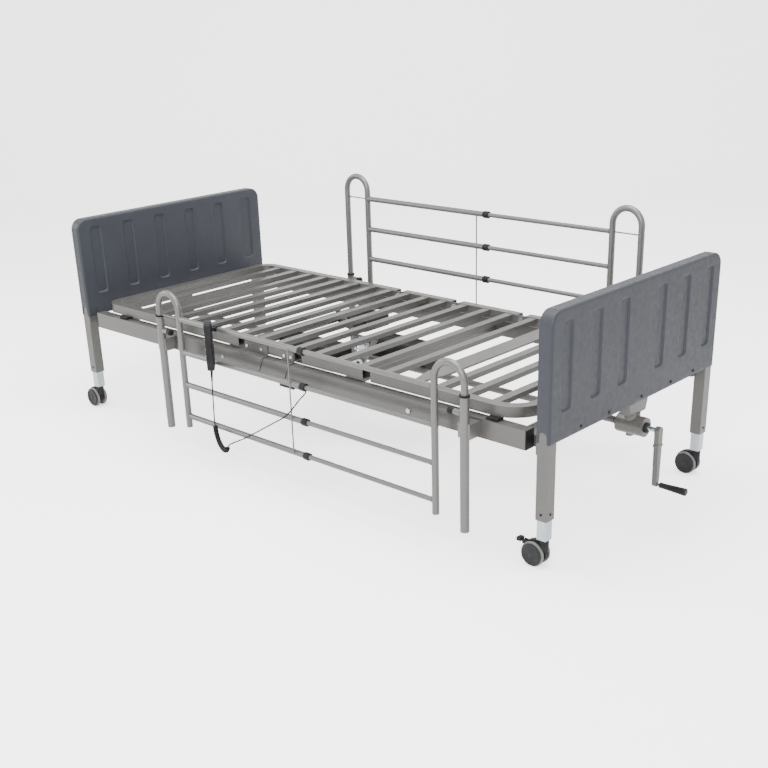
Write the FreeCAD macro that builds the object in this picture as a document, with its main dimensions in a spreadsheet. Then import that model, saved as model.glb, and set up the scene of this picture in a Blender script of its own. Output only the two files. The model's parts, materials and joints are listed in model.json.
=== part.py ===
"""Adjustable hospital bed: moulded end boards on telescoping legs, a jointed slatted deck, two guard rails.

+X points to the foot end, -X to the head end, -Y is the near side (the patient's right), +Z is up. All sizes
are millimetres and angles are degrees. The bed is drawn about the point of the floor midway between its legs.
The crank and the hand control stick out past the legs, so the finished pieces are then set down with the
middle of the whole outline over the origin.
"""
import FreeCAD, Part
import os
import re
from math import cos, hypot, pi, radians, sin, tan
import Sketcher

os.makedirs("parts", exist_ok=True)
doc = FreeCAD.newDocument("hospital_bed")
V = FreeCAD.Vector

# ---------------------------------------------------------------- driving dimensions
CELLS = {
    # end boards: hollow mouldings, open below, with six recesses on each face
    "board_x": 1117.5, "board_half": 457.5, "board_depth": 47, "board_top": 756, "board_base": 384,
    "board_wall": 2.5, "board_corner": 42, "board_round": 7, "arch_half": 15, "arch_height": 34,
    "slot_width": 50, "slot_base": 466, "slot_top": 722, "slot_depth": 5, "slot_round": 14,
    # telescoping legs
    "leg_x": 1094, "leg_y": 435.5, "leg_size": 38, "leg_wall": 1.6, "leg_base": 150, "leg_top": 714,
    "inner_size": 31, "inner_wall": 2, "inner_base": 88, "inner_top": 620, "bush_height": 40, "bush_gap": 0.1,
    "tie_size": 30, "tie_wall": 2, "tie_low_z": 392, "tie_high_z": 702,
    "button_radius": 4, "button_z": 170,
    "bar_size": 25, "bar_z": 600, "rise_up": 140, "rise_down": 45, "slit_gap": 2,
    # hi-lo drive: crank, mitre boxes and lead screws
    "gear_y": 10, "gear_z": 305, "case_radius": 30, "cave_radius": 25, "case_start": 1050, "case_length": 92,
    "case_wall": 5, "neck_radius": 24, "neck_top": 345, "hanger_skin": 4, "hanger_half": 42,
    "screw_radius": 8, "screw_top": 698, "nut_radius": 15, "nut_height": 40, "run_gap": 0.05,
    "mitre_out": 20, "mitre_in": 11, "mitre_gap": 0.6, "shaft_radius": 7,
    "drive_radius": 11, "drive_end": 1035,
    "crank_x": 1178, "crank_skin": 16, "collar_level": 259, "crank_hub": 13, "crank_drop": 172,
    "crank_tip": 8,
    "grip_start": 1202, "grip_end": 1291, "grip_radius": 9, "grip_flare": 12, "grip_pin": 4,
    # side rails and cross members
    "rail_end": 1028, "rail_y": 445, "rail_width": 38, "rail_z": 345, "rail_height": 58, "rail_wall": 2.5,
    "member_size": 30, "member_z": 350, "cap_depth": 3, "bracket_skin": 4,
    # deck
    "deck_end": 1000, "deck_half": 420, "deck_z": 412, "deck_height": 33, "tube_width": 34, "deck_skin": 2,
    "head_corner": 60, "foot_corner": 105, "hinge_gap": 17,
    "head_hinge": -195, "knee_hinge": 88, "foot_hinge": 398,
    "slat_width": 30, "slat_height": 16, "slat_drop": 1.5, "slat_skin": 1.5, "plate_width": 70,
    "ear_skin": 4, "ear_reach": 62, "ear_radius": 15.5, "ear_gap": 0.1, "pin_radius": 6, "pin_head": 10,
    # deck lift: a lever with a pin on each moving section, pushed by a slotted rod end
    "lever_y": 90, "lever_skin": 10, "lever_arm": 120, "lift_pin": 6, "lever_root": 45, "lever_drop": 2,
    "head_swing": 70, "knee_swing": 35, "head_rod_z": 319, "knee_rod_z": 311,
    "fork_half": 16, "fork_height": 26,
    "fork_slot": 7.9, "rod_radius": 10, "rod_root": 36, "sleeve_radius": 18, "sleeve_length": 30,
    "head_motor_x": -30, "knee_motor_x": -45, "motor_length": 270, "motor_width": 108, "motor_height": 84,
    "motor_drop": 34, "motor_round": 12, "head_rod_length": 212, "knee_rod_length": 178,
    # guard rails
    "guard_y": 488, "post_radius": 14, "post_bore": 11.5, "post_base": 55, "near_post_top": 476,
    "far_post_top": 440, "ring_radius": 16, "ring_height": 9, "hoop_radius": 11, "hoop_wall": 2,
    "hoop_span": 112, "hoop_top": 568, "hoop_inner_base": 80, "hoop_outer_base": 92, "tie_wire": 2.5,
    "near_head_post": -558, "near_foot_post": 847, "far_head_post": -556, "far_foot_post": 807,
    "bar_first": 123, "bar_pitch": 120.5, "thick_bar": 10, "thin_bar": 8, "collar_radius": 13,
    "collar_length": 22, "near_joint": 180, "far_joint": 158, "wire_back": 55, "guard_rise": 278,
    "latch_z": 425, "latch_radius": 9, "latch_length": 38, "plunger_radius": 4, "knob_radius": 12,
    # casters
    "wheel_radius": 38, "wheel_width": 17, "wheel_gap": 1.2, "trail": 28, "stem_radius": 5.5, "stem_top": 112,
    "web_half": 8, "hood_inner": 39.5, "hood_outer": 41, "hood_base": 30, "axle_radius": 4,
    "boss_radius": 15, "pedal_out": 39, "pedal_z": 62,
    # hand pendant and its cord
    "pendant_x": -240, "pendant_y": 525, "pendant_yaw": -45, "pendant_z": 348,
    "pendant_wide": 50, "pendant_deep": 24, "pendant_tall": 172, "cord_radius": 3, "cord_bend": 20,
    "plug_y": 462, "plug_z": 340, "plug_end": 105, "plug_long": 62, "rocker_wide": 20, "rocker_tall": 46,
    # middle of the whole outline: crank grip to head brake pedal, pendant to far guard
    "outline_x": 53.5, "outline_y": -22.8,
}
sheet = doc.addObject("Spreadsheet::Sheet", "Dims")
for row, (alias, value) in enumerate(CELLS.items(), start=1):
    sheet.set(f"A{row}", alias)
    sheet.set(f"B{row}", str(value))
    sheet.setAlias(f"B{row}", alias)
doc.recompute()

NAMES = re.compile(r"\b(" + "|".join(sorted(CELLS, key=len, reverse=True)) + r")\b")
NODES = []


def dim(alias):
    """The present value of one cell of the sheet."""
    return float(getattr(sheet, alias))


def bind(thing, prop, formula):
    """Ties one property of an object to a formula of the sheet's words."""
    thing.setExpression(prop, NAMES.sub(r"Dims.\1", str(formula)))


def put(thing, x=0, y=0, z=0):
    """Places an object at formulas of the sheet's words."""
    for letter, formula in zip("xyz", (x, y, z)):
        if str(formula) != "0":
            bind(thing, f"Placement.Base.{letter}", formula)
    return thing


def node(thing, label):
    """Marks an object as one sub-part, exported under its label."""
    thing.Label = label
    NODES.append(thing)
    return thing


# ---------------------------------------------------------------- short forms of the Part objects
def box(name, size, at):
    thing = doc.addObject("Part::Box", name)
    for prop, formula in zip(("Length", "Width", "Height"), size):
        bind(thing, prop, formula)
    return put(thing, *at)


TURNS = {
    "z": FreeCAD.Rotation(),
    "x": FreeCAD.Rotation(V(0, 1, 0), 90),
    "y": FreeCAD.Rotation(V(1, 0, 0), -90),
    "-x": FreeCAD.Rotation(V(0, 1, 0), -90),
}


def cylinder(name, radius, length, at, along="z"):
    thing = doc.addObject("Part::Cylinder", name)
    bind(thing, "Radius", radius)
    bind(thing, "Height", length)
    thing.Placement = FreeCAD.Placement(V(), TURNS[along])
    return put(thing, *at)


def cone(name, radius_1, radius_2, length, at, along="z"):
    thing = doc.addObject("Part::Cone", name)
    bind(thing, "Radius1", radius_1)
    bind(thing, "Radius2", radius_2)
    bind(thing, "Height", length)
    thing.Placement = FreeCAD.Placement(V(), TURNS[along])
    return put(thing, *at)


def fuse(name, things):
    thing = doc.addObject("Part::MultiFuse", name)
    thing.Shapes = things
    thing.Refine = True
    return thing


def cut(name, base, tools):
    thing = doc.addObject("Part::Cut", name)
    thing.Base = base
    thing.Tool = tools[0] if len(tools) == 1 else fuse(name + "_tools", tools)
    return thing


def group(name, things):
    """Several separate solids that stay one sub-part."""
    thing = doc.addObject("Part::Compound", name)
    thing.Links = things
    return thing


def mirror(name, thing, normal):
    """A mirror image of an object in the plane through the origin with this normal."""
    image = doc.addObject("Part::Mirroring", name)
    image.Source = thing
    image.Normal = V(*normal)
    return image


def square_tube(name, size, wall, length, at, along):
    """A square tube; at is its low corner and along is the axis that its open ends face."""
    axis = "xyz".index(along)
    outer, inner, corner = [size] * 3, [f"{size} - 2 * {wall}"] * 3, [f"{p} + {wall}" for p in at]
    outer[axis] = length
    inner[axis] = f"{length} + 2"
    corner[axis] = f"{at[axis]} - 1"
    return cut(name, box(name + "_out", outer, at), [box(name + "_in", inner, corner)])


def round_tube(name, radius, bore, length, at, along="z"):
    start = list(at)
    axis = "xyz".index(along[-1])
    start[axis] = f"{at[axis]} - 1"
    hole = cylinder(name + "_in", bore, f"{length} + 2", start, along)
    return cut(name, cylinder(name + "_out", radius, length, at, along), [hole])


# ---------------------------------------------------------------- short forms of the PartDesign objects
def origin_plane(body, role):
    return next(f for f in body.Origin.OriginFeatures if f.Role == role)


def sketch_on(body, name, role, offset="0"):
    """A sketch on one of the body's own origin planes, moved along the plane's normal."""
    sketch = body.newObject("Sketcher::SketchObject", name)
    sketch.AttachmentSupport = (origin_plane(body, role), [""])
    sketch.MapMode = "FlatFace"
    if offset != "0":
        bind(sketch, "AttachmentOffset.Base.z", offset)
    return sketch


def rectangle(sketch, low_u, high_u, low_v, high_v):
    """A rectangle whose four sides are tied to formulas."""
    first = len(sketch.Geometry)
    corners = [V(0, 0, 0), V(10, 0, 0), V(10, 10, 0), V(0, 10, 0)]
    for i in range(4):
        sketch.addGeometry(Part.LineSegment(corners[i], corners[(i + 1) % 4]))
    for i in range(4):
        sketch.addConstraint(Sketcher.Constraint("Coincident", first + i, 2, first + (i + 1) % 4, 1))
    for i in (0, 2):
        sketch.addConstraint(Sketcher.Constraint("Horizontal", first + i))
        sketch.addConstraint(Sketcher.Constraint("Vertical", first + i + 1))
    sides = [("DistanceX", 0, low_u), ("DistanceX", 1, high_u)]
    sides += [("DistanceY", 0, low_v), ("DistanceY", 2, high_v)]
    for kind, edge, formula in sides:
        number = sketch.addConstraint(Sketcher.Constraint(kind, -1, 1, first + edge, 1, 1.0))
        bind(sketch, f"Constraints[{number}]", formula)


def rounded(sketch, low_u, high_u, low_v, high_v, radius):
    """A rectangle with round corners, drawn from numbers read off the sheet."""
    left, right = low_u + radius, high_u - radius
    low, high = low_v + radius, high_v - radius
    centres = [V(right, high, 0), V(left, high, 0), V(left, low, 0), V(right, low, 0)]
    arcs = []
    for i, centre in enumerate(centres):
        circle = Part.Circle(centre, V(0, 0, 1), radius)
        arcs.append(Part.ArcOfCircle(circle, i * pi / 2, (i + 1) * pi / 2))
    for arc, following in zip(arcs, arcs[1:] + arcs[:1]):
        sketch.addGeometry(arc)
        sketch.addGeometry(Part.LineSegment(arc.EndPoint, following.StartPoint))


def outline(sketch, points):
    """A closed outline of straight lines through points."""
    corners = [V(u, v, 0) for u, v in points]
    for i, corner in enumerate(corners):
        sketch.addGeometry(Part.LineSegment(corner, corners[(i + 1) % len(corners)]))


def pad(body, sketch, length, reverse=False):
    feature = body.newObject("PartDesign::Pad", sketch.Name + "_pad")
    feature.Profile = sketch
    feature.Reversed = reverse
    bind(feature, "Length", length)
    return feature


def pocket(body, sketch, length, reverse=False):
    feature = body.newObject("PartDesign::Pocket", sketch.Name + "_pocket")
    feature.Profile = sketch
    feature.Reversed = reverse
    bind(feature, "Length", length)
    return feature


def round_edges(body, feature, radius, wanted):
    """Fillets the edges of a feature for which wanted(edge) holds."""
    doc.recompute()
    names = [f"Edge{i}" for i, edge in enumerate(feature.Shape.Edges, start=1) if wanted(edge)]
    fillet = body.newObject("PartDesign::Fillet", feature.Name + "_fillet")
    fillet.Base = (feature, names)
    bind(fillet, "Radius", radius)
    return fillet


def profile(sketch, steps):
    """A closed outline: a step of two numbers is a line's end, a step of four is an arc's middle and end."""
    last = V(*steps[-1][-2:], 0)
    for step in steps:
        end = V(*step[-2:], 0)
        if len(step) == 4:
            sketch.addGeometry(Part.Arc(last, V(*step[:2], 0), end))
        else:
            sketch.addGeometry(Part.LineSegment(last, end))
        last = end


def plate(name, points, y, skin):
    """A flat plate in an upright lengthwise plane, from y to y + skin, through (x, z) points."""
    body = doc.addObject("PartDesign::Body", name)
    sketch = sketch_on(body, name + "_sketch", "XZ_Plane", f"-({y})")
    outline(sketch, points)
    pad(body, sketch, skin, reverse=True)
    return body


def facing_plate(name, points, x, skin):
    """A flat plate square to the bed's length, from x to x + skin, through (y, z) points."""
    body = doc.addObject("PartDesign::Body", name)
    sketch = sketch_on(body, name + "_sketch", "YZ_Plane", x)
    outline(sketch, points)
    pad(body, sketch, skin)
    return body


def both_sides(name, thing):
    """An object and its mirror image across the bed, as one group."""
    return group(name, [thing, mirror(name + "_far", thing, (0, 1, 0))])


def both_ends(name, thing):
    """An object and its mirror image along the bed, as one group."""
    return group(name, [thing, mirror(name + "_head", thing, (1, 0, 0))])


# ---------------------------------------------------------------- end boards
INNER_RECESSES = (76, 227, 378)
OUTER_RECESSES = (102, 241, 384)


def board_outline(sketch, inset, base):
    """The board's outline, with round top corners, moved in by inset and reaching down to base."""
    half = dim("board_half") - inset
    top = dim("board_top") - inset
    corner = dim("board_corner") - inset
    bend = corner * (1 - 0.5 ** 0.5)
    profile(sketch, [
        (half, base),
        (half, top - corner),
        (half - bend, top - bend, half - corner, top),
        (-half + corner, top),
        (-half + bend, top - bend, -half, top - corner),
        (-half, base),
    ])


def recesses(body, name, centres, margin, plane):
    """One sketch with a recess outline, widened by margin, on each side of the middle at each centre."""
    sketch = sketch_on(body, name, "YZ_Plane", plane)
    half = dim("slot_width") / 2 + margin
    for centre in sorted([-c for c in centres] + list(centres)):
        low, high = dim("slot_base") - margin, dim("slot_top") + margin
        rounded(sketch, centre - half, centre + half, low, high, dim("slot_round") + margin)
    return sketch


def make_board():
    body = doc.addObject("PartDesign::Body", "foot_board")
    front = "board_x - board_depth"
    face = sketch_on(body, "board_face", "YZ_Plane", front)
    board_outline(face, 0, dim("board_base"))
    block = pad(body, face, "board_depth")

    def on_rim(edge):
        bounds = edge.BoundBox
        level = bounds.XLength < 0.01
        return level and bounds.ZMax > dim("board_base") + 1

    round_edges(body, block, "board_round", on_rim)
    cave = sketch_on(body, "board_cave", "YZ_Plane", front + " + board_wall")
    board_outline(cave, dim("board_wall"), dim("board_base") - 1)
    pocket(body, cave, "board_depth - 2 * board_wall", reverse=True)
    pan = "slot_depth + board_wall"
    inner_pans = recesses(body, "inner_pans", INNER_RECESSES, dim("board_wall"), front + " + 1")
    pad(body, inner_pans, pan + " - 1")
    outer_pans = recesses(body, "outer_pans", OUTER_RECESSES, dim("board_wall"), "board_x - 1")
    pad(body, outer_pans, pan + " - 1", reverse=True)
    pocket(body, recesses(body, "inner_slots", INNER_RECESSES, 0, front), "slot_depth", reverse=True)
    pocket(body, recesses(body, "outer_slots", OUTER_RECESSES, 0, "board_x"), "slot_depth")
    arch = sketch_on(body, "leg_arch", "XZ_Plane", "-board_half - 1")
    middle = dim("board_x") - dim("board_depth") / 2
    half, base, height = dim("arch_half"), dim("board_base"), dim("arch_height")
    profile(arch, [
        (middle + half, base - 1),
        (middle + half, base + height - half),
        (middle, base + height, middle - half, base + height - half),
        (middle - half, base - 1),
    ])
    pocket(body, arch, "2 * board_half + 2")
    return body


BOARD_SCREWS = (-325, -186, -16, 161, 305)
screw_holes = []
for i, y in enumerate(BOARD_SCREWS):
    screw_holes.append(cylinder(f"board_hole_{i}", 3, 4, ("board_x - 4", -y, "board_base + 14"), "x"))
foot_board = cut("footboard_shell", make_board(), screw_holes)
node(foot_board, "footboard_shell")
node(mirror("headboard_shell", foot_board, (1, 0, 0)), "headboard_shell")


# ---------------------------------------------------------------- outer legs, ties and gearbox hangers
def outer_leg():
    """One outer leg at the foot end's far side, slit on its inner face for the lift bar."""
    low = ("leg_x - leg_size / 2", "leg_y - leg_size / 2", "leg_base")
    tube = square_tube("outer_leg", "leg_size", "leg_wall", "leg_top - leg_base", low, "z")
    slit_size = ("bar_size + 2 * slit_gap", "leg_wall + 2", "bar_size + rise_up + rise_down + 2 * slit_gap")
    slit_at = ("leg_x - bar_size / 2 - slit_gap", "leg_y - leg_size / 2 - 1", "bar_z - rise_up - slit_gap")
    return cut("slit_leg", tube, [box("leg_slit", slit_size, slit_at)])


def tie(name, level):
    length = "2 * leg_y - leg_size"
    low = ("leg_x - tie_size / 2", "-leg_y + leg_size / 2", level)
    return square_tube(name, "tie_size", "tie_wall", length, low, "y")


def hanger():
    """A tapered hollow bracket down from the low tie to the shelf that carries the gearbox."""
    top, shelf = dim("tie_low_z") + 12, dim("neck_top")
    middle, half, skin = dim("gear_y"), dim("hanger_half"), dim("hanger_skin")

    def taper(high, low, inset):
        left = [(middle - half - 18 + inset, high), (middle - half + inset, low)]
        return left + [(middle + half - inset, low), (middle + half + 18 - inset, high)]

    outer_start = "leg_x - tie_size / 2 - hanger_skin"
    outer = facing_plate("hanger_outer", taper(top, shelf, 0), outer_start, "tie_size + 2 * hanger_skin")
    hollow = taper(top + 1, shelf + skin, skin)
    return cut("hanger", outer, [facing_plate("hanger_hollow", hollow, "leg_x - tie_size / 2", "tie_size")])


def make_leg_frame():
    leg = outer_leg()
    legs = [leg, mirror("outer_leg_near", leg, (0, 1, 0))]
    ties = [tie("low_tie", "tie_low_z"), tie("high_tie", "tie_high_z")]
    frame = fuse("leg_frame_welded", legs + ties + [hanger()])
    drill = cylinder("screw_way", "screw_radius + 1", "tie_low_z", ("leg_x", "gear_y", "neck_top - 2"))
    return cut("foot_leg_frame", frame, [drill])


foot_leg_frame = node(make_leg_frame(), "foot_leg_frame")
node(mirror("head_leg_frame", foot_leg_frame, (1, 0, 0)), "head_leg_frame")


def leg_bush():
    """A nylon sleeve at the mouth of the outer leg, guiding the inner leg."""
    bore = "inner_size + 2 * bush_gap"
    size = "leg_size - 2 * leg_wall"
    block_at = (f"leg_x - ({size}) / 2", f"leg_y - ({size}) / 2", "leg_base")
    block = box("bush_out", (size, size, "bush_height"), block_at)
    hole_at = (f"leg_x - ({bore}) / 2", f"leg_y - ({bore}) / 2", "leg_base - 1")
    hole = box("bush_in", (bore, bore, "bush_height + 2"), hole_at)
    return cut("leg_bush", block, [hole])


node(both_ends("leg_bushes", both_sides("leg_bush_pair", leg_bush())), "leg_bushes")


# ---------------------------------------------------------------- inner legs, lift bar and nut
def make_inner_legs():
    """Two inner legs with caster sockets, joined by the bar that carries the lift nut."""
    low = ("leg_x - inner_size / 2", "leg_y - inner_size / 2", "inner_base")
    tube = square_tube("inner_leg", "inner_size", "inner_wall", "inner_top - inner_base", low, "z")
    fill = "inner_size - inner_wall"
    plug_at = (f"leg_x - ({fill}) / 2", f"leg_y - ({fill}) / 2", "inner_base")
    plug = box("caster_socket", (fill, fill, "stem_top - inner_base"), plug_at)
    leg = fuse("socketed_leg", [tube, plug])
    legs = [leg, mirror("inner_leg_near", leg, (0, 1, 0))]
    length = "2 * leg_y - inner_size"
    bar_at = ("leg_x - bar_size / 2", "-leg_y + inner_size / 2", "bar_z")
    bar = box("lift_bar", ("bar_size", length, "bar_size"), bar_at)
    holes = [cylinder("nut_seat", "nut_radius - 4", "bar_size + 2", ("leg_x", "gear_y", "bar_z - 1"))]
    for side in (-1, 1):
        stem_at = ("leg_x", f"{side} * leg_y", "inner_base - 1")
        holes.append(cylinder(f"stem_hole_{side + 1}", "stem_radius + run_gap", "stem_top", stem_at))
    return cut("foot_inner_legs", fuse("inner_legs_welded", legs + [bar]), holes)


foot_inner_legs = node(make_inner_legs(), "foot_inner_legs")
node(mirror("head_inner_legs", foot_inner_legs, (1, 0, 0)), "head_inner_legs")


def lift_nut():
    """A flanged nut sunk through the lift bar."""
    barrel = cylinder("nut_barrel", "nut_radius - 4", "nut_height", ("leg_x", "gear_y", "bar_z - 8"))
    flange = cylinder("nut_flange", "nut_radius", 5, ("leg_x", "gear_y", "bar_z + bar_size"))
    bore = cylinder("nut_bore", "screw_radius + run_gap", "nut_height + 4", ("leg_x", "gear_y", "bar_z - 10"))
    return cut("foot_lift_nut", fuse("nut_body", [barrel, flange]), [bore])


foot_lift_nut = node(lift_nut(), "foot_lift_nut")
node(mirror("head_lift_nut", foot_lift_nut, (1, 0, 0)), "head_lift_nut")


# ---------------------------------------------------------------- mitre boxes, lead screws, shafts and crank
def gear_case():
    barrel = cylinder("case_barrel", "case_radius", "case_length", ("case_start", "gear_y", "gear_z"), "x")
    cave_at = ("case_start + case_wall", "gear_y", "gear_z")
    cave = cylinder("case_cave", "cave_radius", "case_length - 2 * case_wall", cave_at, "x")
    neck_at = ("leg_x", "gear_y", "gear_z")
    neck_cave = cylinder("neck_cave", "neck_radius - 3", "neck_top - gear_z - 4", neck_at)
    neck = cylinder("case_neck", "neck_radius", "neck_top - gear_z", neck_at)
    screw_way = cylinder("neck_bore", "screw_radius + run_gap", "neck_top", neck_at)
    shaft_at = ("case_start - 1", "gear_y", "gear_z")
    shaft_way = cylinder("case_bore", "shaft_radius + run_gap", "case_length + 2", shaft_at, "x")
    return cut("foot_gear_case", fuse("case_body", [barrel, neck]), [cave, neck_cave, screw_way, shaft_way])


foot_gear_case = node(gear_case(), "foot_gear_case")
node(mirror("head_gear_case", foot_gear_case, (1, 0, 0)), "head_gear_case")


def lead_screw():
    """The upright screw with its mitre gear at the bottom."""
    start = "gear_z + mitre_in"
    rod = cylinder("screw_rod", "screw_radius", f"screw_top - ({start})", ("leg_x", "gear_y", start))
    small, large = "mitre_in - mitre_gap", "mitre_out - mitre_gap"
    gear = cone("screw_gear", small, large, "mitre_out - mitre_in", ("leg_x", "gear_y", start))
    return fuse("foot_lead_screw", [rod, gear])


foot_lead_screw = node(lead_screw(), "foot_lead_screw")
node(mirror("head_lead_screw", foot_lead_screw, (1, 0, 0)), "head_lead_screw")


def mitre_shaft(name, sign, reach):
    """A level shaft through one mitre box, with its gear, reaching out to x = reach."""
    inner, span = "(drive_end - 35)", f"{reach} - (drive_end - 35)"
    along = "x" if sign > 0 else "-x"
    rod = cylinder(name + "_rod", "shaft_radius", span, (f"{sign} * {inner}", "gear_y", "gear_z"), along)
    small, large = "mitre_in - mitre_gap", "mitre_out - mitre_gap"
    gear_at = (f"{sign} * (leg_x + mitre_in)", "gear_y", "gear_z")
    gear = cone(name + "_gear", small, large, "mitre_out - mitre_in", gear_at, along)
    return fuse(name, [rod, gear])


shafts = [mitre_shaft("crank_shaft", 1, "crank_x"), mitre_shaft("head_shaft", -1, "case_start + case_length")]
node(group("mitre_shafts", shafts), "mitre_shafts")
drive_at = ("-drive_end", "gear_y", "gear_z")
node(round_tube("drive_tube", "drive_radius", "shaft_radius", "2 * drive_end", drive_at, "x"), "drive_tube")


def crank_arm():
    """A tapered flat arm hanging from the shaft, with the pin that the grip turns on."""
    hub = cylinder("crank_hub", "crank_hub", "crank_skin", ("crank_x", "gear_y", "gear_z"), "x")
    tip = cylinder("crank_tip", "crank_tip", "crank_skin", ("crank_x", "gear_y", "gear_z - crank_drop"), "x")
    y, high, low = dim("gear_y"), dim("gear_z"), dim("gear_z") - dim("crank_drop")
    wide, slim = dim("crank_hub"), dim("crank_tip")
    web = facing_plate("crank_web", [(y - wide, high), (y - slim, low), (y + slim, low), (y + wide, high)],
                       "crank_x", "crank_skin")
    pin_at = ("crank_x + 1", "gear_y", "gear_z - crank_drop")
    pin = cylinder("crank_pin", "grip_pin", "grip_end - crank_x - 6", pin_at, "x")
    knuckle_at = ("crank_x - 1.5", f"gear_y - {wide + 1}", "collar_level - 4")
    knuckle = box("crank_knuckle", ("crank_skin + 3", f"{2 * wide + 2}", 8), knuckle_at)
    return fuse("crank_arm", [hub, tip, web, pin, knuckle])


node(crank_arm(), "crank_arm")


def crank_grip():
    """A handle that flares towards its free end and turns on the crank's pin."""
    at = ("grip_start", "gear_y", "gear_z - crank_drop")
    body = cone("grip_body", "grip_radius", "grip_flare", "grip_end - grip_start", at, "x")
    bore_at = ("grip_start - 1", "gear_y", "gear_z - crank_drop")
    bore = cylinder("grip_bore", "grip_pin + run_gap", "grip_end - grip_start - 3", bore_at, "x")
    return cut("crank_grip", body, [bore])


node(crank_grip(), "crank_grip")


# ---------------------------------------------------------------- side rails, cross members and brackets
RAIL_BOLTS = (-522, 594)
MEMBER_STARTS = ("-1000", "knee_motor_x - motor_length - member_size", "head_motor_x + motor_length", "970")


def rail():
    low = ("-rail_end", "rail_y - rail_width", "rail_z")
    outer = box("rail_out", ("2 * rail_end", "rail_width", "rail_height"), low)
    hollow = ("2 * rail_end + 2", "rail_width - 2 * rail_wall", "rail_height - 2 * rail_wall")
    hollow_at = ("-rail_end - 1", "rail_y - rail_width + rail_wall", "rail_z + rail_wall")
    holes = [box("rail_in", hollow, hollow_at)]
    for i, x in enumerate(RAIL_BOLTS):
        hole_at = (x, "rail_y - rail_wall", "rail_z + 20")
        holes.append(cylinder(f"rail_hole_{i}", 4, "rail_wall + 1", hole_at, "y"))
    return cut("side_rail", outer, holes)


node(both_sides("side_rails", rail()), "side_rails")


def cross_member(number, start):
    length = "2 * (rail_y - rail_width)"
    low = (start, "-rail_y + rail_width", "member_z")
    return square_tube(f"member_{number}", "member_size", "rail_wall", length, low, "y")


node(group("cross_members", [cross_member(i, x) for i, x in enumerate(MEMBER_STARTS)]), "cross_members")


def corner_bracket():
    """An angle joining a rail's inner face to the leg's bed-side face."""
    reach, inner = "leg_x - leg_size / 2", "rail_y - rail_width - bracket_skin"
    web = box("corner_web", (f"{reach} - 1005", "bracket_skin", 34), (1005, inner, "rail_z + 2"))
    flange_at = (f"{reach} - bracket_skin", inner, "rail_z + 2")
    flange = box("corner_flange", ("bracket_skin", "leg_size + 14", 34), flange_at)
    return fuse("corner_bracket", [web, flange])


node(both_ends("corner_brackets", both_sides("corner_pair", corner_bracket())), "corner_brackets")


def deck_bracket(name, start, end, seat_start):
    """A stepped plate: down the rail's face, over its top and up the deck tube's face."""
    face = dim("rail_y")
    low, ledge = dim("rail_z") + 2, dim("rail_z") + dim("rail_height")
    web = plate(name + "_web", [(start, low), (end - 26, low), (end, ledge), (start, ledge)], face, 3)
    shelf_size = (end - seat_start, "rail_y - deck_half + 3", 3)
    shelf = box(name + "_shelf", shelf_size, (seat_start, "deck_half", "rail_z + rail_height"))
    upper_size = (end - seat_start, 3, "deck_z + deck_height - 5 - rail_z - rail_height")
    upper = box(name + "_upper", upper_size, (seat_start, "deck_half", "rail_z + rail_height"))
    return fuse(name, [web, shelf, upper])


brackets = [deck_bracket("hinge_bracket", -290, -60, -176), deck_bracket("knee_bracket", 8, 68, 8)]
node(both_sides("deck_brackets", group("deck_bracket_pair", brackets)), "deck_brackets")


# ---------------------------------------------------------------- deck sections
def frame_band(name, opening, end, corner):
    """The bent tube of the head or the foot section: two sides, round corners and the end bar."""
    sign = 1 if end > 0 else -1
    body = doc.addObject("PartDesign::Body", name)

    def band(title, inset, level):
        sketch = sketch_on(body, title, "XY_Plane", level)
        half, width = dim("deck_half") - inset, dim("tube_width") - 2 * inset
        start = opening - sign * (1 if inset else 0)
        far, radius = end - sign * inset, corner - inset
        inner, tight = half - width, radius - width
        near = far - sign * width
        bend, small = radius * (1 - 0.5 ** 0.5), tight * (1 - 0.5 ** 0.5)
        profile(sketch, [
            (start, half),
            (far - sign * radius, half),
            (far - sign * bend, half - bend, far, half - radius),
            (far, -half + radius),
            (far - sign * bend, -half + bend, far - sign * radius, -half),
            (start, -half),
            (start, -inner),
            (near - sign * tight, -inner),
            (near - sign * small, -inner + small, near, -inner + tight),
            (near, inner - tight),
            (near - sign * small, inner - small, near - sign * tight, inner),
            (start, inner),
        ])
        return sketch

    pad(body, band(name + "_outer", 0, "deck_z"), "deck_height")
    hollow = band(name + "_hollow", dim("deck_skin"), "deck_z + deck_skin")
    pocket(body, hollow, "deck_height - 2 * deck_skin", reverse=True)
    return body


def side_tubes(name, start, end):
    """The two straight side tubes of the seat or the thigh section."""
    size = (f"{end} - ({start})", "tube_width", "deck_height")
    hollow = (f"{end} - ({start}) + 2", "tube_width - 2 * deck_skin", "deck_height - 2 * deck_skin")
    outer = box(name + "_out", size, (start, "deck_half - tube_width", "deck_z"))
    hollow_at = (f"{start} - 1", "deck_half - tube_width + deck_skin", "deck_z + deck_skin")
    tube = cut(name, outer, [box(name + "_in", hollow, hollow_at)])
    return [tube, mirror(name + "_near", tube, (0, 1, 0))]


def slats(name, centres):
    """Hollow slats between the side tubes."""
    top = "deck_z + deck_height - slat_drop"
    length = "2 * (deck_half - tube_width)"
    made = []
    for i, x in enumerate(centres):
        low = (f"{x} - slat_width / 2", "-deck_half + tube_width", f"{top} - slat_height")
        outer = box(f"{name}_{i}_out", ("slat_width", length, "slat_height"), low)
        hollow = ("slat_width - 2 * slat_skin", f"{length} - 2", "slat_height - 2 * slat_skin")
        hollow_x = f"{x} - slat_width / 2 + slat_skin"
        hollow_at = (hollow_x, "-deck_half + tube_width + 1", f"{top} - slat_height + slat_skin")
        made.append(cut(f"{name}_{i}", outer, [box(f"{name}_{i}_in", hollow, hollow_at)]))
    return made


PIVOT_Z = "deck_z + deck_height / 2"


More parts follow.
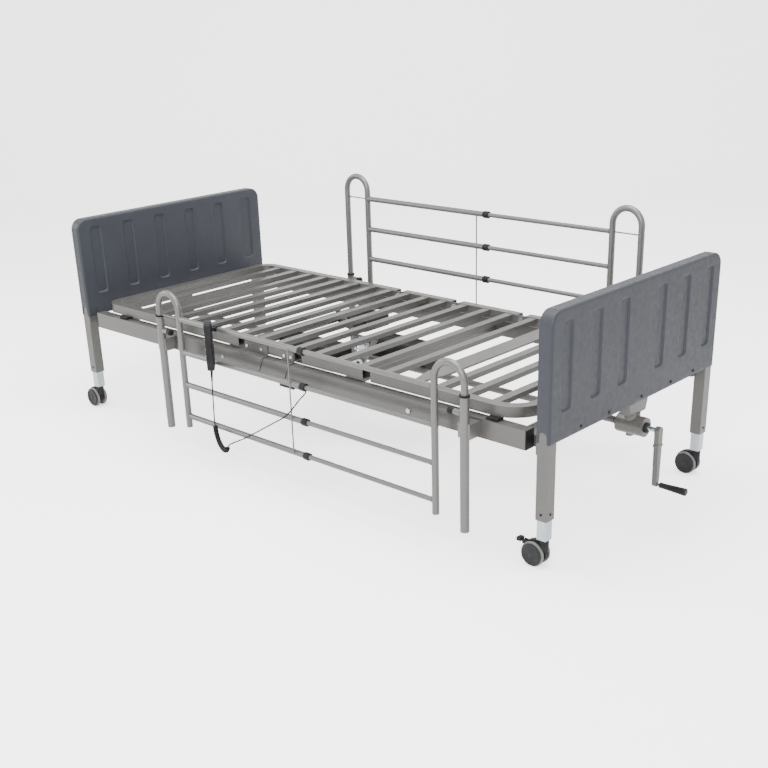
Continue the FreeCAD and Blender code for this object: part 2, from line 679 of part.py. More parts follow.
def ears(name, hinge, side, rotates_on_pin):
    """The lap plates of one section at a hinge: side -1 reaches from the head side, +1 from the foot side."""
    inner = "deck_half - tube_width - ear_skin" if side < 0 else "deck_half - tube_width + ear_gap"
    at = (hinge, inner, PIVOT_Z)
    disc = cylinder(name + "_disc", "ear_radius", "ear_skin", at, "y")
    low_x = f"{hinge} - ear_reach" if side < 0 else hinge
    arm_at = (low_x, inner, f"{PIVOT_Z} - ear_radius")
    arm = box(name + "_arm", ("ear_reach", "ear_skin", "2 * ear_radius"), arm_at)
    hole_radius = "pin_radius + run_gap" if rotates_on_pin else "pin_radius"
    hole_at = (hinge, "deck_half - tube_width - 8", PIVOT_Z)
    hole = cylinder(name + "_hole", hole_radius, 16, hole_at, "y")
    ear = cut(name, fuse(name + "_plate", [disc, arm]), [hole])
    return [ear, mirror(name + "_near", ear, (0, 1, 0))]


def lever(name, hinge, side, swing):
    """The plate under a moving section and the pin that its motor pushes; side is the section's side."""
    lean = radians(swing / 2)
    x, z = dim(hinge), dim("deck_z") + dim("deck_height") / 2
    tip = (x - side * dim("lever_arm") * sin(lean), z - dim("lever_arm") * cos(lean))
    root = (x + side * dim("lever_root"), z - dim("lever_drop"))
    run, rise = tip[0] - root[0], tip[1] - root[1]
    length = (run ** 2 + rise ** 2) ** 0.5
    across = (-rise / length * 9, run / length * 9)
    corners = [(root[0] + across[0], root[1] + across[1]), (tip[0] + across[0], tip[1] + across[1]),
               (tip[0] - across[0], tip[1] - across[1]), (root[0] - across[0], root[1] - across[1])]
    low_y = f"{-side} * lever_y - lever_skin / 2"
    web = plate(name + "_web", corners, low_y, "lever_skin")
    eye = cylinder(name + "_eye", 12, "lever_skin", (tip[0], low_y, tip[1]), "y")
    pin_at = (tip[0], f"{-side} * lever_y - 16", tip[1])
    return [web, eye, cylinder(name + "_pin", "lift_pin", 32, pin_at, "y")]


HEAD_SLATS = (-888, -788, -695, -608, -518, -425, -332, -240)
SEAT_SLATS = (-150, -55, 38)
THIGH_SLATS = (137, 241, 346)
FOOT_SLATS = (451, 668, 770, 880)

head_opening = dim("head_hinge") - dim("hinge_gap")
head_frame = frame_band("head_frame", head_opening, -dim("deck_end"), dim("head_corner"))
head_parts = slats("head_slat", HEAD_SLATS) + ears("head_ear", "head_hinge", -1, True)
head_parts += lever("head_lever", "head_hinge", -1, dim("head_swing"))
node(fuse("head_section", [head_frame] + head_parts), "head_section")

seat_parts = side_tubes("seat_tube", "head_hinge + hinge_gap", "knee_hinge - hinge_gap")
seat_parts += slats("seat_slat", SEAT_SLATS)
seat_parts += ears("seat_head_ear", "head_hinge", 1, False) + ears("seat_knee_ear", "knee_hinge", -1, False)
node(fuse("seat_section", seat_parts), "seat_section")

thigh_parts = side_tubes("thigh_tube", "knee_hinge + hinge_gap", "foot_hinge - hinge_gap")
thigh_parts += slats("thigh_slat", THIGH_SLATS) + ears("thigh_knee_ear", "knee_hinge", 1, True)
thigh_parts += ears("thigh_foot_ear", "foot_hinge", -1, False)
thigh_parts += lever("knee_lever", "knee_hinge", 1, dim("knee_swing"))
node(fuse("thigh_section", thigh_parts), "thigh_section")


def spring_plate():
    """The broad six-sided cross plate of the foot section."""
    body = doc.addObject("PartDesign::Body", "broad_slat")
    sketch = sketch_on(body, "broad_slat_sketch", "XY_Plane", "deck_z + deck_height - slat_drop - 6")
    x, side = 581, dim("deck_half") - dim("tube_width")
    wide, slim = dim("plate_width") / 2, dim("slat_width") / 2
    outline(sketch, [(x - slim, -side), (x + slim, -side), (x + wide, -side + 90), (x + wide, side - 90),
                     (x + slim, side), (x - slim, side), (x - wide, side - 90), (x - wide, -side + 90)])
    pad(body, sketch, 6)
    return body


foot_opening = dim("foot_hinge") + dim("hinge_gap")
foot_frame = frame_band("foot_frame", foot_opening, dim("deck_end"), dim("foot_corner"))
foot_parts = slats("foot_slat", FOOT_SLATS) + ears("foot_ear", "foot_hinge", 1, True) + [spring_plate()]
node(fuse("foot_section", [foot_frame] + foot_parts), "foot_section")


def hinge_pin(name, hinge, fixed_side):
    """A riveted pin, pressed into the ear on fixed_side; the other ear turns on it."""
    face = "(deck_half - tube_width)"
    slack_in = "ear_gap" if fixed_side > 0 else 0
    slack_out = "ear_gap" if fixed_side < 0 else 0
    inner_at = (hinge, f"{face} - ear_skin - 3 - {slack_in}", PIVOT_Z)
    outer_start = f"{face} + ear_gap + ear_skin + {slack_out}"
    inner = cylinder(name + "_inner_head", "pin_head", 3, inner_at, "y")
    outer = cylinder(name + "_outer_head", "pin_head", 3, (hinge, outer_start, PIVOT_Z), "y")
    shank_at = (hinge, f"{face} - ear_skin - 2", PIVOT_Z)
    shank = cylinder(name + "_shank", "pin_radius", "2 * ear_skin + 4", shank_at, "y")
    pin = fuse(name, [inner, outer, shank])
    return [pin, mirror(name + "_near", pin, (0, 1, 0))]


seat_pins = hinge_pin("head_pin", "head_hinge", 1) + hinge_pin("knee_pin", "knee_hinge", -1)
node(group("seat_hinge_pins", seat_pins), "seat_hinge_pins")
node(group("foot_hinge_pins", hinge_pin("foot_pin", "foot_hinge", -1)), "foot_hinge_pins")


# ---------------------------------------------------------------- deck motors and push rods
def motor(name, start, side, rod_level, rod_length):
    """A motor whose front face is at x = start; side is the direction of its front."""
    low_x = start if side < 0 else f"{start} - motor_length"
    low = (low_x, f"{-side} * lever_y - motor_width / 2", f"{rod_level} - motor_drop")
    case = box(name + "_case", ("motor_length", "motor_width", "motor_height"), low)
    soft = doc.addObject("Part::Fillet", name + "_soft")
    soft.Base = case
    doc.recompute()
    long_edges = [i for i, e in enumerate(case.Shape.Edges, start=1) if e.BoundBox.XLength > 1]
    soft.Edges = [(i, dim("motor_round"), dim("motor_round")) for i in long_edges]
    along = "-x" if side < 0 else "x"
    middle = f"{-side} * lever_y"
    sleeve = cylinder(name + "_sleeve", "sleeve_radius", "sleeve_length", (start, middle, rod_level), along)
    bore_at = (f"{start} - ({side}) * {rod_length}", middle, rod_level)
    bore_length = f"{rod_length} + sleeve_length + 2"
    bore = cylinder(name + "_bore", "rod_radius + run_gap", bore_length, bore_at, along)
    return cut(name, fuse(name + "_body", [soft, sleeve]), [bore])


def push_rod(name, hinge, side, swing, rod_level, rod_length):
    """A rod with a forked, slotted end; the lever's pin rides up and down in the slot."""
    pin_x = dim(hinge) - side * dim("lever_arm") * sin(radians(swing / 2))
    middle, back = f"{-side} * lever_y", -side
    half, root = dim("fork_half"), dim("rod_root")
    block_low = pin_x - half if back > 0 else pin_x - root
    block_at = (block_low, f"{middle} - 14", f"{rod_level} - fork_height")
    block = box(name + "_block", ("fork_half + rod_root", 28, "2 * fork_height"), block_at)
    slot_at = (f"{pin_x} - fork_slot", f"{middle} - 15", f"{rod_level} - 19")
    slot = box(name + "_slot", ("2 * fork_slot", 30, 38), slot_at)
    throat_low = pin_x - half - 1 if back > 0 else pin_x - half
    throat_at = (throat_low, f"{middle} - 6.5", f"{rod_level} - fork_height - 1")
    throat = box(name + "_throat", ("2 * fork_half + 1", 13, "2 * fork_height + 2"), throat_at)
    along = "x" if back > 0 else "-x"
    rod = cylinder(name + "_rod", "rod_radius", rod_length, (pin_x + back * root, middle, rod_level), along)
    return fuse(name, [cut(name + "_fork", block, [slot, throat]), rod])


node(motor("head_motor", "head_motor_x", -1, "head_rod_z", "head_rod_length"), "head_motor")
node(motor("knee_motor", "knee_motor_x", 1, "knee_rod_z", "knee_rod_length"), "knee_motor")
head_rod = push_rod("head_push_rod", "head_hinge", -1, dim("head_swing"), "head_rod_z", "head_rod_length")
knee_rod = push_rod("knee_push_rod", "knee_hinge", 1, dim("knee_swing"), "knee_rod_z", "knee_rod_length")
node(head_rod, "head_push_rod")
node(knee_rod, "knee_push_rod")


def control_box():
    """The junction box of the motors, on the cross member behind the knee motor."""
    body = doc.addObject("PartDesign::Body", "control_box")
    member = dim("knee_motor_x") - dim("motor_length")
    sketch = sketch_on(body, "control_box_sketch", "XY_Plane", 334)
    rounded(sketch, member, member + 150, 160, 300, 10)
    block = pad(body, sketch, 44)
    round_edges(body, block, 3, lambda edge: edge.BoundBox.ZLength < 0.01 and edge.BoundBox.ZMin < 335)
    return body


node(control_box(), "control_box")


# ---------------------------------------------------------------- guard rails
def hoop_solid(name, radius, post, inner, side, lift):
    """The bent rod of one hoop: two legs and the half ring over them."""
    y = f"{side} * guard_y"
    legs = []
    for end, x in (("inner", inner), ("outer", post)):
        length = f"hoop_top - hoop_span / 2 - hoop_{end}_base"
        legs.append(cylinder(f"{name}_{end}", radius, length, (x, y, f"hoop_{end}_base + {lift}")))
    bend = doc.addObject("Part::Torus", name + "_bend")
    bind(bend, "Radius1", "hoop_span / 2")
    bind(bend, "Radius2", radius)
    bend.Angle3 = 180
    bend.Placement = FreeCAD.Placement(V(), FreeCAD.Rotation(V(1, 0, 0), 90))
    put(bend, f"({post} + ({inner})) / 2", y, f"hoop_top - hoop_span / 2 + {lift}")
    return fuse(name, legs + [bend])


BARS = range(4)


def guard_half(name, side, post, away, lift, reach, radius):
    """One hoop with its four bars; away is the direction of the bars and reach is where they end."""
    inner = f"{post} + {away} * hoop_span"
    y = f"{side} * guard_y"
    outer = [hoop_solid(name + "_skin", "hoop_radius", post, inner, side, lift)]
    bore = [hoop_solid(name + "_bore", "hoop_radius - hoop_wall", post, inner, side, lift)]
    along = "x" if away > 0 else "-x"
    for i in BARS:
        level = f"bar_first + {i} * bar_pitch + {lift}"
        length = f"{away} * (({reach}) - ({inner}))"
        outer.append(cylinder(f"{name}_bar_{i}", radius, length, (inner, y, level), along))
        hollow_at = (f"{inner} + {away} * hoop_radius", y, level)
        hollow = f"{length} - hoop_radius + 1"
        hollow_radius = "thin_bar + run_gap" if radius == "thick_bar" else f"{radius} - 1.5"
        bore.append(cylinder(f"{name}_bar_in_{i}", hollow_radius, hollow, hollow_at, along))
    low_x = f"{post} + hoop_radius - 1" if away > 0 else f"{inner} + hoop_radius - 1"
    level = f"bar_first + {len(BARS) - 1} * bar_pitch + {lift}"
    wire = cylinder(name + "_tie", "tie_wire", "hoop_span - 2 * hoop_radius + 2", (low_x, y, level), "x")
    return cut(name + "_tubes", fuse(name + "_solid", outer), bore), wire


def guard(word, side, lift):
    """The three nodes of one moving guard rail."""
    joint = f"{word}_joint"
    thick, wire = guard_half(f"{word}_head", side, f"{word}_head_post", 1, lift, joint, "thick_bar")
    y = f"{side} * guard_y"
    front = f"{side} * (guard_y + thick_bar)"
    bottom = f"bar_first + {lift}"
    tall = f"{len(BARS) - 1} * bar_pitch"
    upright = cylinder(f"{word}_upright", "tie_wire", tall, (f"{joint} - wire_back", front, bottom))
    node(fuse(f"{word}_guard_head_half", [thick, wire, upright]), f"{word}_guard_head_half")
    thin, wire = guard_half(f"{word}_foot", side, f"{word}_foot_post", -1, lift, f"{joint} - 30", "thin_bar")
    node(fuse(f"{word}_guard_foot_half", [thin, wire]), f"{word}_guard_foot_half")
    collars = []
    for i in BARS:
        level = f"bar_first + {i} * bar_pitch + {lift}"
        name = f"{word}_collar_{i}"
        body_at = (f"{joint} - collar_length / 2", y, level)
        body = cylinder(name + "_body", "collar_radius", "collar_length", body_at, "x")
        thick_at = (f"{joint} - collar_length", y, level)
        thick_way = cylinder(name + "_thick", "thick_bar", "collar_length", thick_at, "x")
        thin_way = cylinder(name + "_thin", "thin_bar", "collar_length", (joint, y, level), "x")
        collars.append(cut(name, body, [thick_way, thin_way]))
    node(group(f"{word}_guard_collars", collars), f"{word}_guard_collars")


guard("near", -1, "0")
guard("far", 1, "guard_rise")


def post(name, side, x, away, top):
    """A fixed sleeve with its clamp to the rail and the plunger's housing."""
    y = f"{side} * guard_y"
    tube = cylinder(name + "_tube", "post_radius", f"{top} - post_base", (x, y, "post_base"))
    near_y = "rail_y" if side > 0 else "-guard_y - 4"
    clamp = box(name + "_clamp", (44, "guard_y - rail_y + 4", 46), (f"{x} - 22", near_y, "rail_z + 6"))
    along = "x" if away > 0 else "-x"
    housing_at = (f"{x} + {away} * (post_radius - 2)", y, "latch_z")
    housing = cylinder(name + "_latch", "latch_radius", "latch_length - post_radius + 2", housing_at, along)
    bore = cylinder(name + "_bore", "post_bore", 600, (x, y, "post_base - 20"))
    way_at = (f"{x} + {away} * 2", y, "latch_z")
    pin_way = cylinder(name + "_pin_way", "plunger_radius + run_gap", "latch_length", way_at, along)
    tools = [bore, pin_way]
    for i in range(3):
        stop_at = (x, f"{side} * (guard_y - 20)" if side > 0 else "-guard_y", 112 + i * 107)
        tools.append(cylinder(f"{name}_stop_hole_{i}", 3, 20, stop_at, "y"))
    return cut(name, fuse(name + "_body", [tube, clamp, housing]), tools)


POSTS = [
    ("near_head", -1, 1, "near_post_top"),
    ("near_foot", -1, -1, "near_post_top"),
    ("far_head", 1, 1, "far_post_top"),
    ("far_foot", 1, -1, "far_post_top"),
]
posts = [post(f"{word}_sleeve", side, f"{word}_post", away, top) for word, side, away, top in POSTS]
node(group("guard_posts", posts), "guard_posts")


def plunger(name, side, x, away):
    """A pull knob whose pin stops at the sleeve's bore."""
    y = f"{side} * guard_y"
    along = "x" if away > 0 else "-x"
    pin_at = (f"{x} + {away} * (post_bore + 0.4)", y, "latch_z")
    pin = cylinder(name + "_pin", "plunger_radius", "latch_length - post_bore + 8", pin_at, along)
    knob_at = (f"{x} + {away} * (latch_length + 0.4)", y, "latch_z")
    knob = cylinder(name + "_knob", "knob_radius", 7, knob_at, along)
    cap_at = (f"{x} + {away} * (latch_length + 7.4)", y, "latch_z")
    cap = cone(name + "_cap", "knob_radius - 3", "knob_radius - 1", 13, cap_at, along)
    return fuse(name, [pin, knob, cap])


for word, side, away, top in POSTS:
    node(plunger(f"{word}_plunger", side, f"{word}_post", away), f"{word}_plunger")


# ---------------------------------------------------------------- black plugs, rings and rubber rests
def end_plugs():
    """Rail end caps, post rings, deck rests, leg buttons, the shaft seal and the end boards' screws."""
    made = []
    for i, y in enumerate(BOARD_SCREWS):
        shank = cylinder(f"board_screw_{i}", 3, 4, ("board_x - 4", -y, "board_base + 14"), "x")
        head = cylinder(f"board_screw_head_{i}", 5, 2, ("board_x", -y, "board_base + 14"), "x")
        screw = fuse(f"edge_screw_{i}", [shank, head])
        made += [screw, mirror(f"edge_screw_{i}_head", screw, (1, 0, 0))]
    for i, (dx, dy, along) in enumerate(((0, 1, "y"), (1, 0, "x"))):
        at = (f"leg_x + {dx} * leg_size / 2", f"leg_y + {dy} * leg_size / 2", "button_z")
        button = cylinder(f"leg_button_{i}", "button_radius", 1.6, at, along)
        made.append(both_ends(f"leg_button_{i}_all", both_sides(f"leg_button_{i}_pair", button)))
    seal_at = ("case_start + case_length", "gear_y", "gear_z")
    made.append(round_tube("shaft_seal", 16, "shaft_radius + run_gap", 6, seal_at, "x"))
    for end in (-1, 1):
        for side in (-1, 1):
            cap_x = "rail_end" if end > 0 else "-rail_end - cap_depth"
            cap_y = "rail_y - rail_width" if side > 0 else "-rail_y"
            cap_size = ("cap_depth", "rail_width", "rail_height")
            cap = box(f"rail_cap_{end + 1}_{side + 1}", cap_size, (cap_x, cap_y, "rail_z"))
            rest_x = 885 if end > 0 else -886
            rest_y = "rail_y - rail_width" if side > 0 else "-rail_y + 6"
            rest_at = (rest_x, rest_y, "rail_z + rail_height")
            rest_size = (40, "rail_width - 6", "deck_z - rail_z - rail_height - 0.3")
            rest = box(f"rest_{end + 1}_{side + 1}", rest_size, rest_at)
            made += [cap, rest]
    for word, side, away, top in POSTS:
        at = (f"{word}_post", f"{side} * guard_y", top)
        made.append(round_tube(f"{word}_ring", "ring_radius", "post_bore", "ring_height - 3", at))
    return group("end_plugs", made)


node(end_plugs(), "end_plugs")


RIVETS = [(-270, 372, 448), (-164, 424, 423), (-91, 424, 423), (24, 424, 423), (56, 424, 423)]


def frame_bolts():
    """Dome-headed bolts on the rails and rivets on the deck brackets."""
    made = []
    for i, x in enumerate(RAIL_BOLTS):
        head = cylinder(f"bolt_head_{i}", 8, 4, (x, "rail_y", "rail_z + 20"), "y")
        shank_at = (x, "rail_y - rail_wall", "rail_z + 20")
        shank = cylinder(f"bolt_shank_{i}", 4, "rail_wall + 0.5", shank_at, "y")
        bolt = fuse(f"bolt_{i}", [head, shank])
        made += [bolt, mirror(f"bolt_{i}_near", bolt, (0, 1, 0))]
    for i, (x, z, face) in enumerate(RIVETS):
        head = cylinder(f"rivet_{i}", 6, 3, (x, face, z), "y")
        made += [head, mirror(f"rivet_{i}_near", head, (0, 1, 0))]
    return group("frame_bolts", made)


node(frame_bolts(), "frame_bolts")


# ---------------------------------------------------------------- hand pendant, its switches and cord
def pendant_turn(x=0, y=0, z=0):
    """The pendant's yaw about its own upright middle line, as a placement of a point given from that line."""
    turn = FreeCAD.Rotation(V(0, 0, 1), dim("pendant_yaw"))
    middle = V(dim("pendant_x"), -dim("pendant_y"), 0)
    if (x, y, z) == (0, 0, 0):
        return FreeCAD.Placement(middle - turn.multVec(middle), turn)
    return FreeCAD.Placement(middle + turn.multVec(V(x, y, z)), turn)


def pendant():
    """The hand control: a rounded case with two rocker wells and a hook over the guard's top bar."""
    body = doc.addObject("PartDesign::Body", "pendant_case")
    sketch = sketch_on(body, "pendant_sketch", "XZ_Plane", "pendant_y - pendant_deep / 2")
    low_x, low_z = dim("pendant_x") - dim("pendant_wide") / 2, dim("pendant_z")
    rounded(sketch, low_x, low_x + dim("pendant_wide"), low_z, low_z + dim("pendant_tall"), 16)
    block = pad(body, sketch, "pendant_deep")
    round_edges(body, block, 4, lambda edge: edge.BoundBox.YLength < 0.01)
    wells = sketch_on(body, "rocker_wells", "XZ_Plane", "pendant_y + pendant_deep / 2")
    for rise in ROCKER_RISES.values():
        level = f"pendant_z + {rise}"
        rectangle(wells, "pendant_x - rocker_wide / 2 - 1", "pendant_x + rocker_wide / 2 + 1",
                  f"{level} - rocker_tall / 2 - 2", f"{level} + rocker_tall / 2 + 2")
    pocket(body, wells, 9)
    body.Tip = body.Group[-1]
    body.Placement = pendant_turn()
    bar_level = f"bar_first + {len(BARS) - 1} * bar_pitch"
    at = ("pendant_x - 12", "-guard_y", bar_level)
    strap = round_tube("hook_strap", "thick_bar + 4", "thick_bar + 0.6", 24, at, "x")
    half = box("hook_half", (30, 60, 40), ("pendant_x - 15", "-guard_y - 30", f"{bar_level} - 5"))
    hook = doc.addObject("Part::Common", "pendant_hook")
    hook.Base = strap
    hook.Tool = half
    neck_size = (16, "pendant_y - guard_y - thick_bar - 6.3", 9)
    neck = box("hook_neck", neck_size, ("pendant_x - 4", "-pendant_y + 4", f"{bar_level} + 2"))
    return fuse("pendant", [body, hook, neck])


ROCKER_RISES = {"head_switch": 120, "knee_switch": 62}
node(pendant(), "pendant")


def rocker(name, level):
    """A switch that tips about a level line, the axis of the round barrel behind its face."""
    block = box(name + "_block", ("rocker_wide", 6, "rocker_tall"), (0, 0, 0))
    low_x, low_y = -dim("rocker_wide") / 2, -dim("pendant_deep") / 2 - 1
    block.Placement = pendant_turn(low_x, low_y, level - dim("rocker_tall") / 2)
    soft = doc.addObject("Part::Fillet", name + "_soft")
    soft.Base = block
    doc.recompute()
    soft.Edges = [(i, 1, 1) for i, e in enumerate(block.Shape.Edges, start=1) if e.BoundBox.XLength > 1]
    barrel = cylinder(name + "_barrel", 3, "rocker_wide", (0, 0, 0), "x")
    barrel.Placement = pendant_turn(low_x, low_y + 4, level).multiply(barrel.Placement)
    return fuse(name, [soft, barrel])


for word, rise in ROCKER_RISES.items():
    node(rocker(word, dim("pendant_z") + rise), word)


def rounded_course(points, radius):
    """A wire of straight lengths through the points, with an arc of the radius at every corner."""
    edges = []
    start = points[0]
    for before, corner, after in zip(points, points[1:], points[2:]):
        back = (before - corner).normalize()
        on = (after - corner).normalize()
        trim = radius / tan(back.getAngle(on) / 2)
        first, last = corner + back * trim, corner + on * trim
        inward = (back + on).normalize()
        middle = corner + inward * (hypot(radius, trim) - radius)
        edges.append(Part.LineSegment(start, first).toShape())
        edges.append(Part.Arc(first, middle, last).toShape())
        start = last
    edges.append(Part.LineSegment(start, points[-1]).toShape())
    return Part.Wire(edges)


def pendant_cord():
    """The pendant's flexible cord: down, round a loose loop and up behind the guard to its plug."""
    x, z, y = dim("pendant_x"), dim("pendant_z"), -dim("pendant_y")
    inner_y, plug_z = -dim("plug_y"), dim("plug_z")
    course = [
        (x, y, z - 0.05),
        (x, y, z - 40),
        (x - 12, y, z - 205),
        (x + 12, y, z - 280),
        (x + 52, y, z - 290),
        (x + 96, y, z - 244),
        (x + 300, y, z - 128),
        (x + 404, y, z - 68),
        (x + 404, inner_y, plug_z),
        (dim("plug_end") + 0.05, inner_y, plug_z),
    ]
    points = [V(*p) for p in course]
    spine = doc.addObject("Part::Feature", "cord_course")
    spine.Shape = rounded_course(points, dim("cord_bend"))
    section = doc.addObject("Part::Circle", "cord_section")
    bind(section, "Radius", "cord_radius")
    section.Placement = FreeCAD.Placement(points[0], FreeCAD.Rotation(V(0, 0, 1), points[1] - points[0]))
    sweep = doc.addObject("Part::Sweep", "pendant_cord_sweep")
    sweep.Sections = [section]
    sweep.Spine = (spine, [f"Edge{i + 1}" for i in range(len(spine.Shape.Edges))])
    sweep.Solid = True
    return sweep


node(pendant_cord(), "pendant_cord")


def cord_plug():
    """The plug that ends the cord, clipped under the near rail."""
    barrel = cylinder("plug_barrel", 8, "plug_long", ("plug_end - plug_long", "-plug_y", "plug_z"), "x")
    clip = box("plug_clip", (26, 20, 4), ("plug_end - 45", "-plug_y - 3", "rail_z - 4"))
    return fuse("cord_plug", [barrel, clip])


node(cord_plug(), "cord_plug")


# ---------------------------------------------------------------- casters
CASTERS = [("near_foot", 1, -1), ("far_foot", 1, 1), ("near_head", -1, -1), ("far_head", -1, 1)]
BRAKED = ("near_foot", "far_head")


def caster_housing(word, end, side):
    """The swivelling housing between the wheels and its stem, trailing towards the head end."""
    x, y = f"{end} * leg_x", f"{side} * leg_y"
    axle_x = f"{x} - trail"
    tall = "hood_outer + wheel_radius - hood_base"
    dome_at = (axle_x, f"{y} - web_half", "wheel_radius")
    dome = cylinder(word + "_dome", "hood_outer", "2 * web_half", dome_at, "y")
    upper = box(word + "_upper", (100, 60, tall), (f"{axle_x} - 50", f"{y} - 30", "hood_base"))
    hood = doc.addObject("Part::Common", word + "_hood")
    hood.Base = dome
    hood.Tool = upper
    boss_top = "inner_base - 1.5"
    boss = cylinder(word + "_boss", "boss_radius", f"{boss_top} - 50", (x, y, 50))
    stem = cylinder(word + "_stem", "stem_radius", f"stem_top - 4 - ({boss_top})", (x, y, boss_top))
    parts = [hood, boss, stem]
    pin_x = f"{axle_x} - pedal_out"
    if word in BRAKED:
        for i, low_y in enumerate((f"{y} - web_half", f"{y} + web_half - 3")):
            parts.append(box(f"{word}_tab_{i}", (16, 3, 12), (f"{pin_x} - 4", low_y, "pedal_z - 6")))
    caves = []
    for i, low_y in enumerate((f"{y} - 40", f"{y} + web_half")):
        cave_at = (axle_x, low_y, "wheel_radius")
        caves.append(cylinder(f"{word}_cave_{i}", "hood_inner", "40 - web_half", cave_at, "y"))
    way_at = (axle_x, f"{y} - 30", "wheel_radius")
    caves.append(cylinder(word + "_axle_way", "axle_radius + run_gap", 60, way_at, "y"))
    if word in BRAKED:
        caves.append(cylinder(word + "_pedal_way", 2.1, 40, (pin_x, f"{y} - 20", "pedal_z"), "y"))
    return cut(word + "_caster", fuse(word + "_caster_body", parts), caves)


def wheel_pair(word, end, side):
    """Two wheels on one axle, each with a dished outer face."""
    axle_x, y = f"{end} * leg_x - trail", f"{side} * leg_y"
    inner = "web_half + wheel_gap"
    axle_at = (axle_x, f"{y} - ({inner}) - 2", "wheel_radius")
    parts = [cylinder(word + "_axle", "axle_radius", f"2 * ({inner}) + 4", axle_at, "y")]
    for i, low_y in enumerate((f"{y} - ({inner}) - wheel_width", f"{y} + {inner}")):
        disc_at = (axle_x, low_y, "wheel_radius")
        disc = cylinder(f"{word}_disc_{i}", "wheel_radius", "wheel_width", disc_at, "y")
        dish_y = (f"{low_y} - 2", f"{low_y} + wheel_width - 2")[i]
        dish = round_tube(f"{word}_dish_{i}", 31, 9, 4, (axle_x, dish_y, "wheel_radius"), "y")
        parts.append(cut(f"{word}_wheel_{i}", disc, [dish]))
    return fuse(word + "_wheels", parts)


def brake_pedal(word, end, side):
    """A foot pedal on a cross pin behind the housing."""
    pin_x, y = f"{end} * leg_x - trail - pedal_out", f"{side} * leg_y"
    pin = cylinder(word + "_pedal_pin", 2, "2 * web_half", (pin_x, f"{y} - web_half", "pedal_z"), "y")
    barrel_at = (pin_x, f"{y} - web_half + 3.2", "pedal_z")
    barrel = cylinder(word + "_pedal_barrel", 4, "2 * web_half - 6.4", barrel_at, "y")
    arm_at = (f"{pin_x} - 10", f"{y} - web_half + 3.2", "pedal_z - 2")
    arm = box(word + "_pedal_arm", (10, "2 * web_half - 6.4", 4), arm_at)
    tread = box(word + "_pedal_tread", (15, 20, 11), (f"{pin_x} - 23", f"{y} - 10", "pedal_z - 2"))
    return fuse(word + "_brake_pedal", [pin, barrel, arm, tread])


for word, end, side in CASTERS:
    node(caster_housing(word, end, side), word + "_caster")
    node(wheel_pair(word, end, side), word + "_wheels")
for word, end, side in CASTERS:
    if word in BRAKED:
        node(brake_pedal(word, end, side), word + "_brake_pedal")


# ---------------------------------------------------------------- checks and export
doc.recompute()
for thing in doc.Objects:
    if {"Invalid", "Error"} & set(thing.State):
        raise RuntimeError(f"{thing.Label} is in error")
for thing in NODES:
    if thing.Shape.isNull() or not thing.Shape.isValid():
        raise RuntimeError(f"{thing.Label} has no valid shape")
for thing in NODES:
    placed = thing.Shape.copy()
    placed.translate(V(-dim("outline_x"), -dim("outline_y"), 0))
    placed.exportStep(f"parts/{thing.Label}.step")
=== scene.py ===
"""The adjustable hospital bed's looks: materials, soft-edged mouldings, casters, knobs, grip and cord."""
import json
import math

import bmesh
import bpy
from mathutils import Matrix, Vector


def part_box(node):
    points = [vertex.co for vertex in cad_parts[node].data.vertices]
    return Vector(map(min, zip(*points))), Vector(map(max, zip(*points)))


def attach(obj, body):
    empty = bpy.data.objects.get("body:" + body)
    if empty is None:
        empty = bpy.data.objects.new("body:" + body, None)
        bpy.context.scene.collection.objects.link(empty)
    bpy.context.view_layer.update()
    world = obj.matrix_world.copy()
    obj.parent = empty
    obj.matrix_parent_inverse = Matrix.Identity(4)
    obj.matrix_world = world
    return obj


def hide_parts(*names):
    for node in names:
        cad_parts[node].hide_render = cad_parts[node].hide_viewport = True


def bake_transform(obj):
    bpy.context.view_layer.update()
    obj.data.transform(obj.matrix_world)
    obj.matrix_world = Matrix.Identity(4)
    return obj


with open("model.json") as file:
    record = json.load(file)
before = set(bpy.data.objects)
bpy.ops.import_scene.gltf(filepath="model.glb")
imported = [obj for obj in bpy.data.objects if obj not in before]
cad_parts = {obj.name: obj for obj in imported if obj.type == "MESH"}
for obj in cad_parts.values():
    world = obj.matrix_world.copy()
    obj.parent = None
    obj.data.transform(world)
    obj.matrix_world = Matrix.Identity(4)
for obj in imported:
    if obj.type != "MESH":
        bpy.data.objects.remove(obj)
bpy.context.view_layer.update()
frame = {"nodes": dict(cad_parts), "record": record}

MM = 0.001


